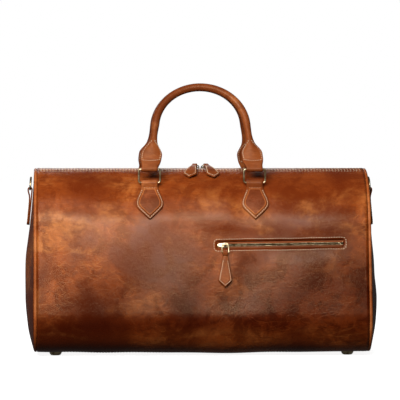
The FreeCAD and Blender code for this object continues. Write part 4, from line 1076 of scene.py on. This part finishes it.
# ---- Lights, floor and camera ----
# A key light from the left, two bands that draw the sheen along the shoulder, a hood above
# and a rim behind stand round a white floor. The camera faces the front from far away.
f = Finish("studio_floor", Roughness=0.8, Specular_IOR_Level=0.0, Emission_Strength=1.0)
apart = f.node("ShaderNodeVectorMath", dict(operation="LENGTH"), {0: f.place()}, out=1)
glow = f.mix(f.step(apart, 0.4, 2.5), (0.9, 0.9, 0.9, 1.0), (1.0, 1.0, 1.0, 1.0))
floor_finish = f.give(Base_Color=rgb(245, 245, 243), Emission_Color=glow)
bpy.ops.mesh.primitive_plane_add(size=60, location=(0, 0, 0))
ground = bpy.context.object
ground.name = "studio_floor"
ground.data.materials.append(floor_finish)
ground.visible_diffuse = ground.visible_glossy = False


def softbox(name, place, aim, width, height, power):
    """A rectangular light of some watts, facing its aim; lengths are in metres."""
    lamp = bpy.data.lights.new(name, "AREA")
    lamp.shape, lamp.size, lamp.size_y, lamp.energy = "RECTANGLE", width, height, power
    made = bpy.data.objects.new(name, lamp)
    bpy.context.scene.collection.objects.link(made)
    made.location = place
    made.rotation_euler = (Vector(aim) - Vector(place)).to_track_quat("-Z", "Y").to_euler()
    return made


softbox("key", (-0.9, -1.3, 1.2), (0, 0, 0.22), 0.6, 0.5, 14)
softbox("wide_band", (-0.3, -1.6, 1.06), (0, 0, 0.22), 1.3, 0.5, 20)
softbox("narrow_band", (-0.25, -1.6, 0.97), (0, 0, 0.22), 1.2, 0.18, 8)
softbox("hood", (-0.3, -1.2, 1.75), (0, 0, 0.25), 1.0, 0.5, 6)
softbox("rim", (-0.3, 1.6, 0.9), (0, 0, 0.3), 1.2, 0.4, 3)
world = bpy.data.worlds.new("studio")
bpy.context.scene.world = world
world.use_nodes = True
nodes, links = world.node_tree.nodes, world.node_tree.links
back = nodes["Background"]
ray = nodes.new("ShaderNodeLightPath")
level = nodes.new("ShaderNodeMapRange")
level.inputs[3].default_value, level.inputs[4].default_value = 0.06, 1.0
links.new(ray.outputs["Is Camera Ray"], level.inputs[0])
links.new(level.outputs[0], back.inputs["Strength"])
back.inputs["Color"].default_value = (1, 1, 1, 1)
bpy.context.scene.view_settings.view_transform = "Standard"

AZIMUTH, ELEVATION, DISTANCE = math.radians(-2.5), math.radians(0.8), 5.0
AIM = np.array([0.0, 0.0, 0.2325])
lens = bpy.data.cameras.new("camera")
lens.lens = 36 * DISTANCE / 0.6095
camera = bpy.data.objects.new("camera", lens)
bpy.context.scene.collection.objects.link(camera)
camera.location = AIM + DISTANCE * np.array([
    math.sin(AZIMUTH) * math.cos(ELEVATION), -math.cos(AZIMUTH) * math.cos(ELEVATION),
    math.sin(ELEVATION)])
camera.rotation_euler = (math.pi / 2 - ELEVATION, 0, AZIMUTH)
bpy.context.scene.camera = camera
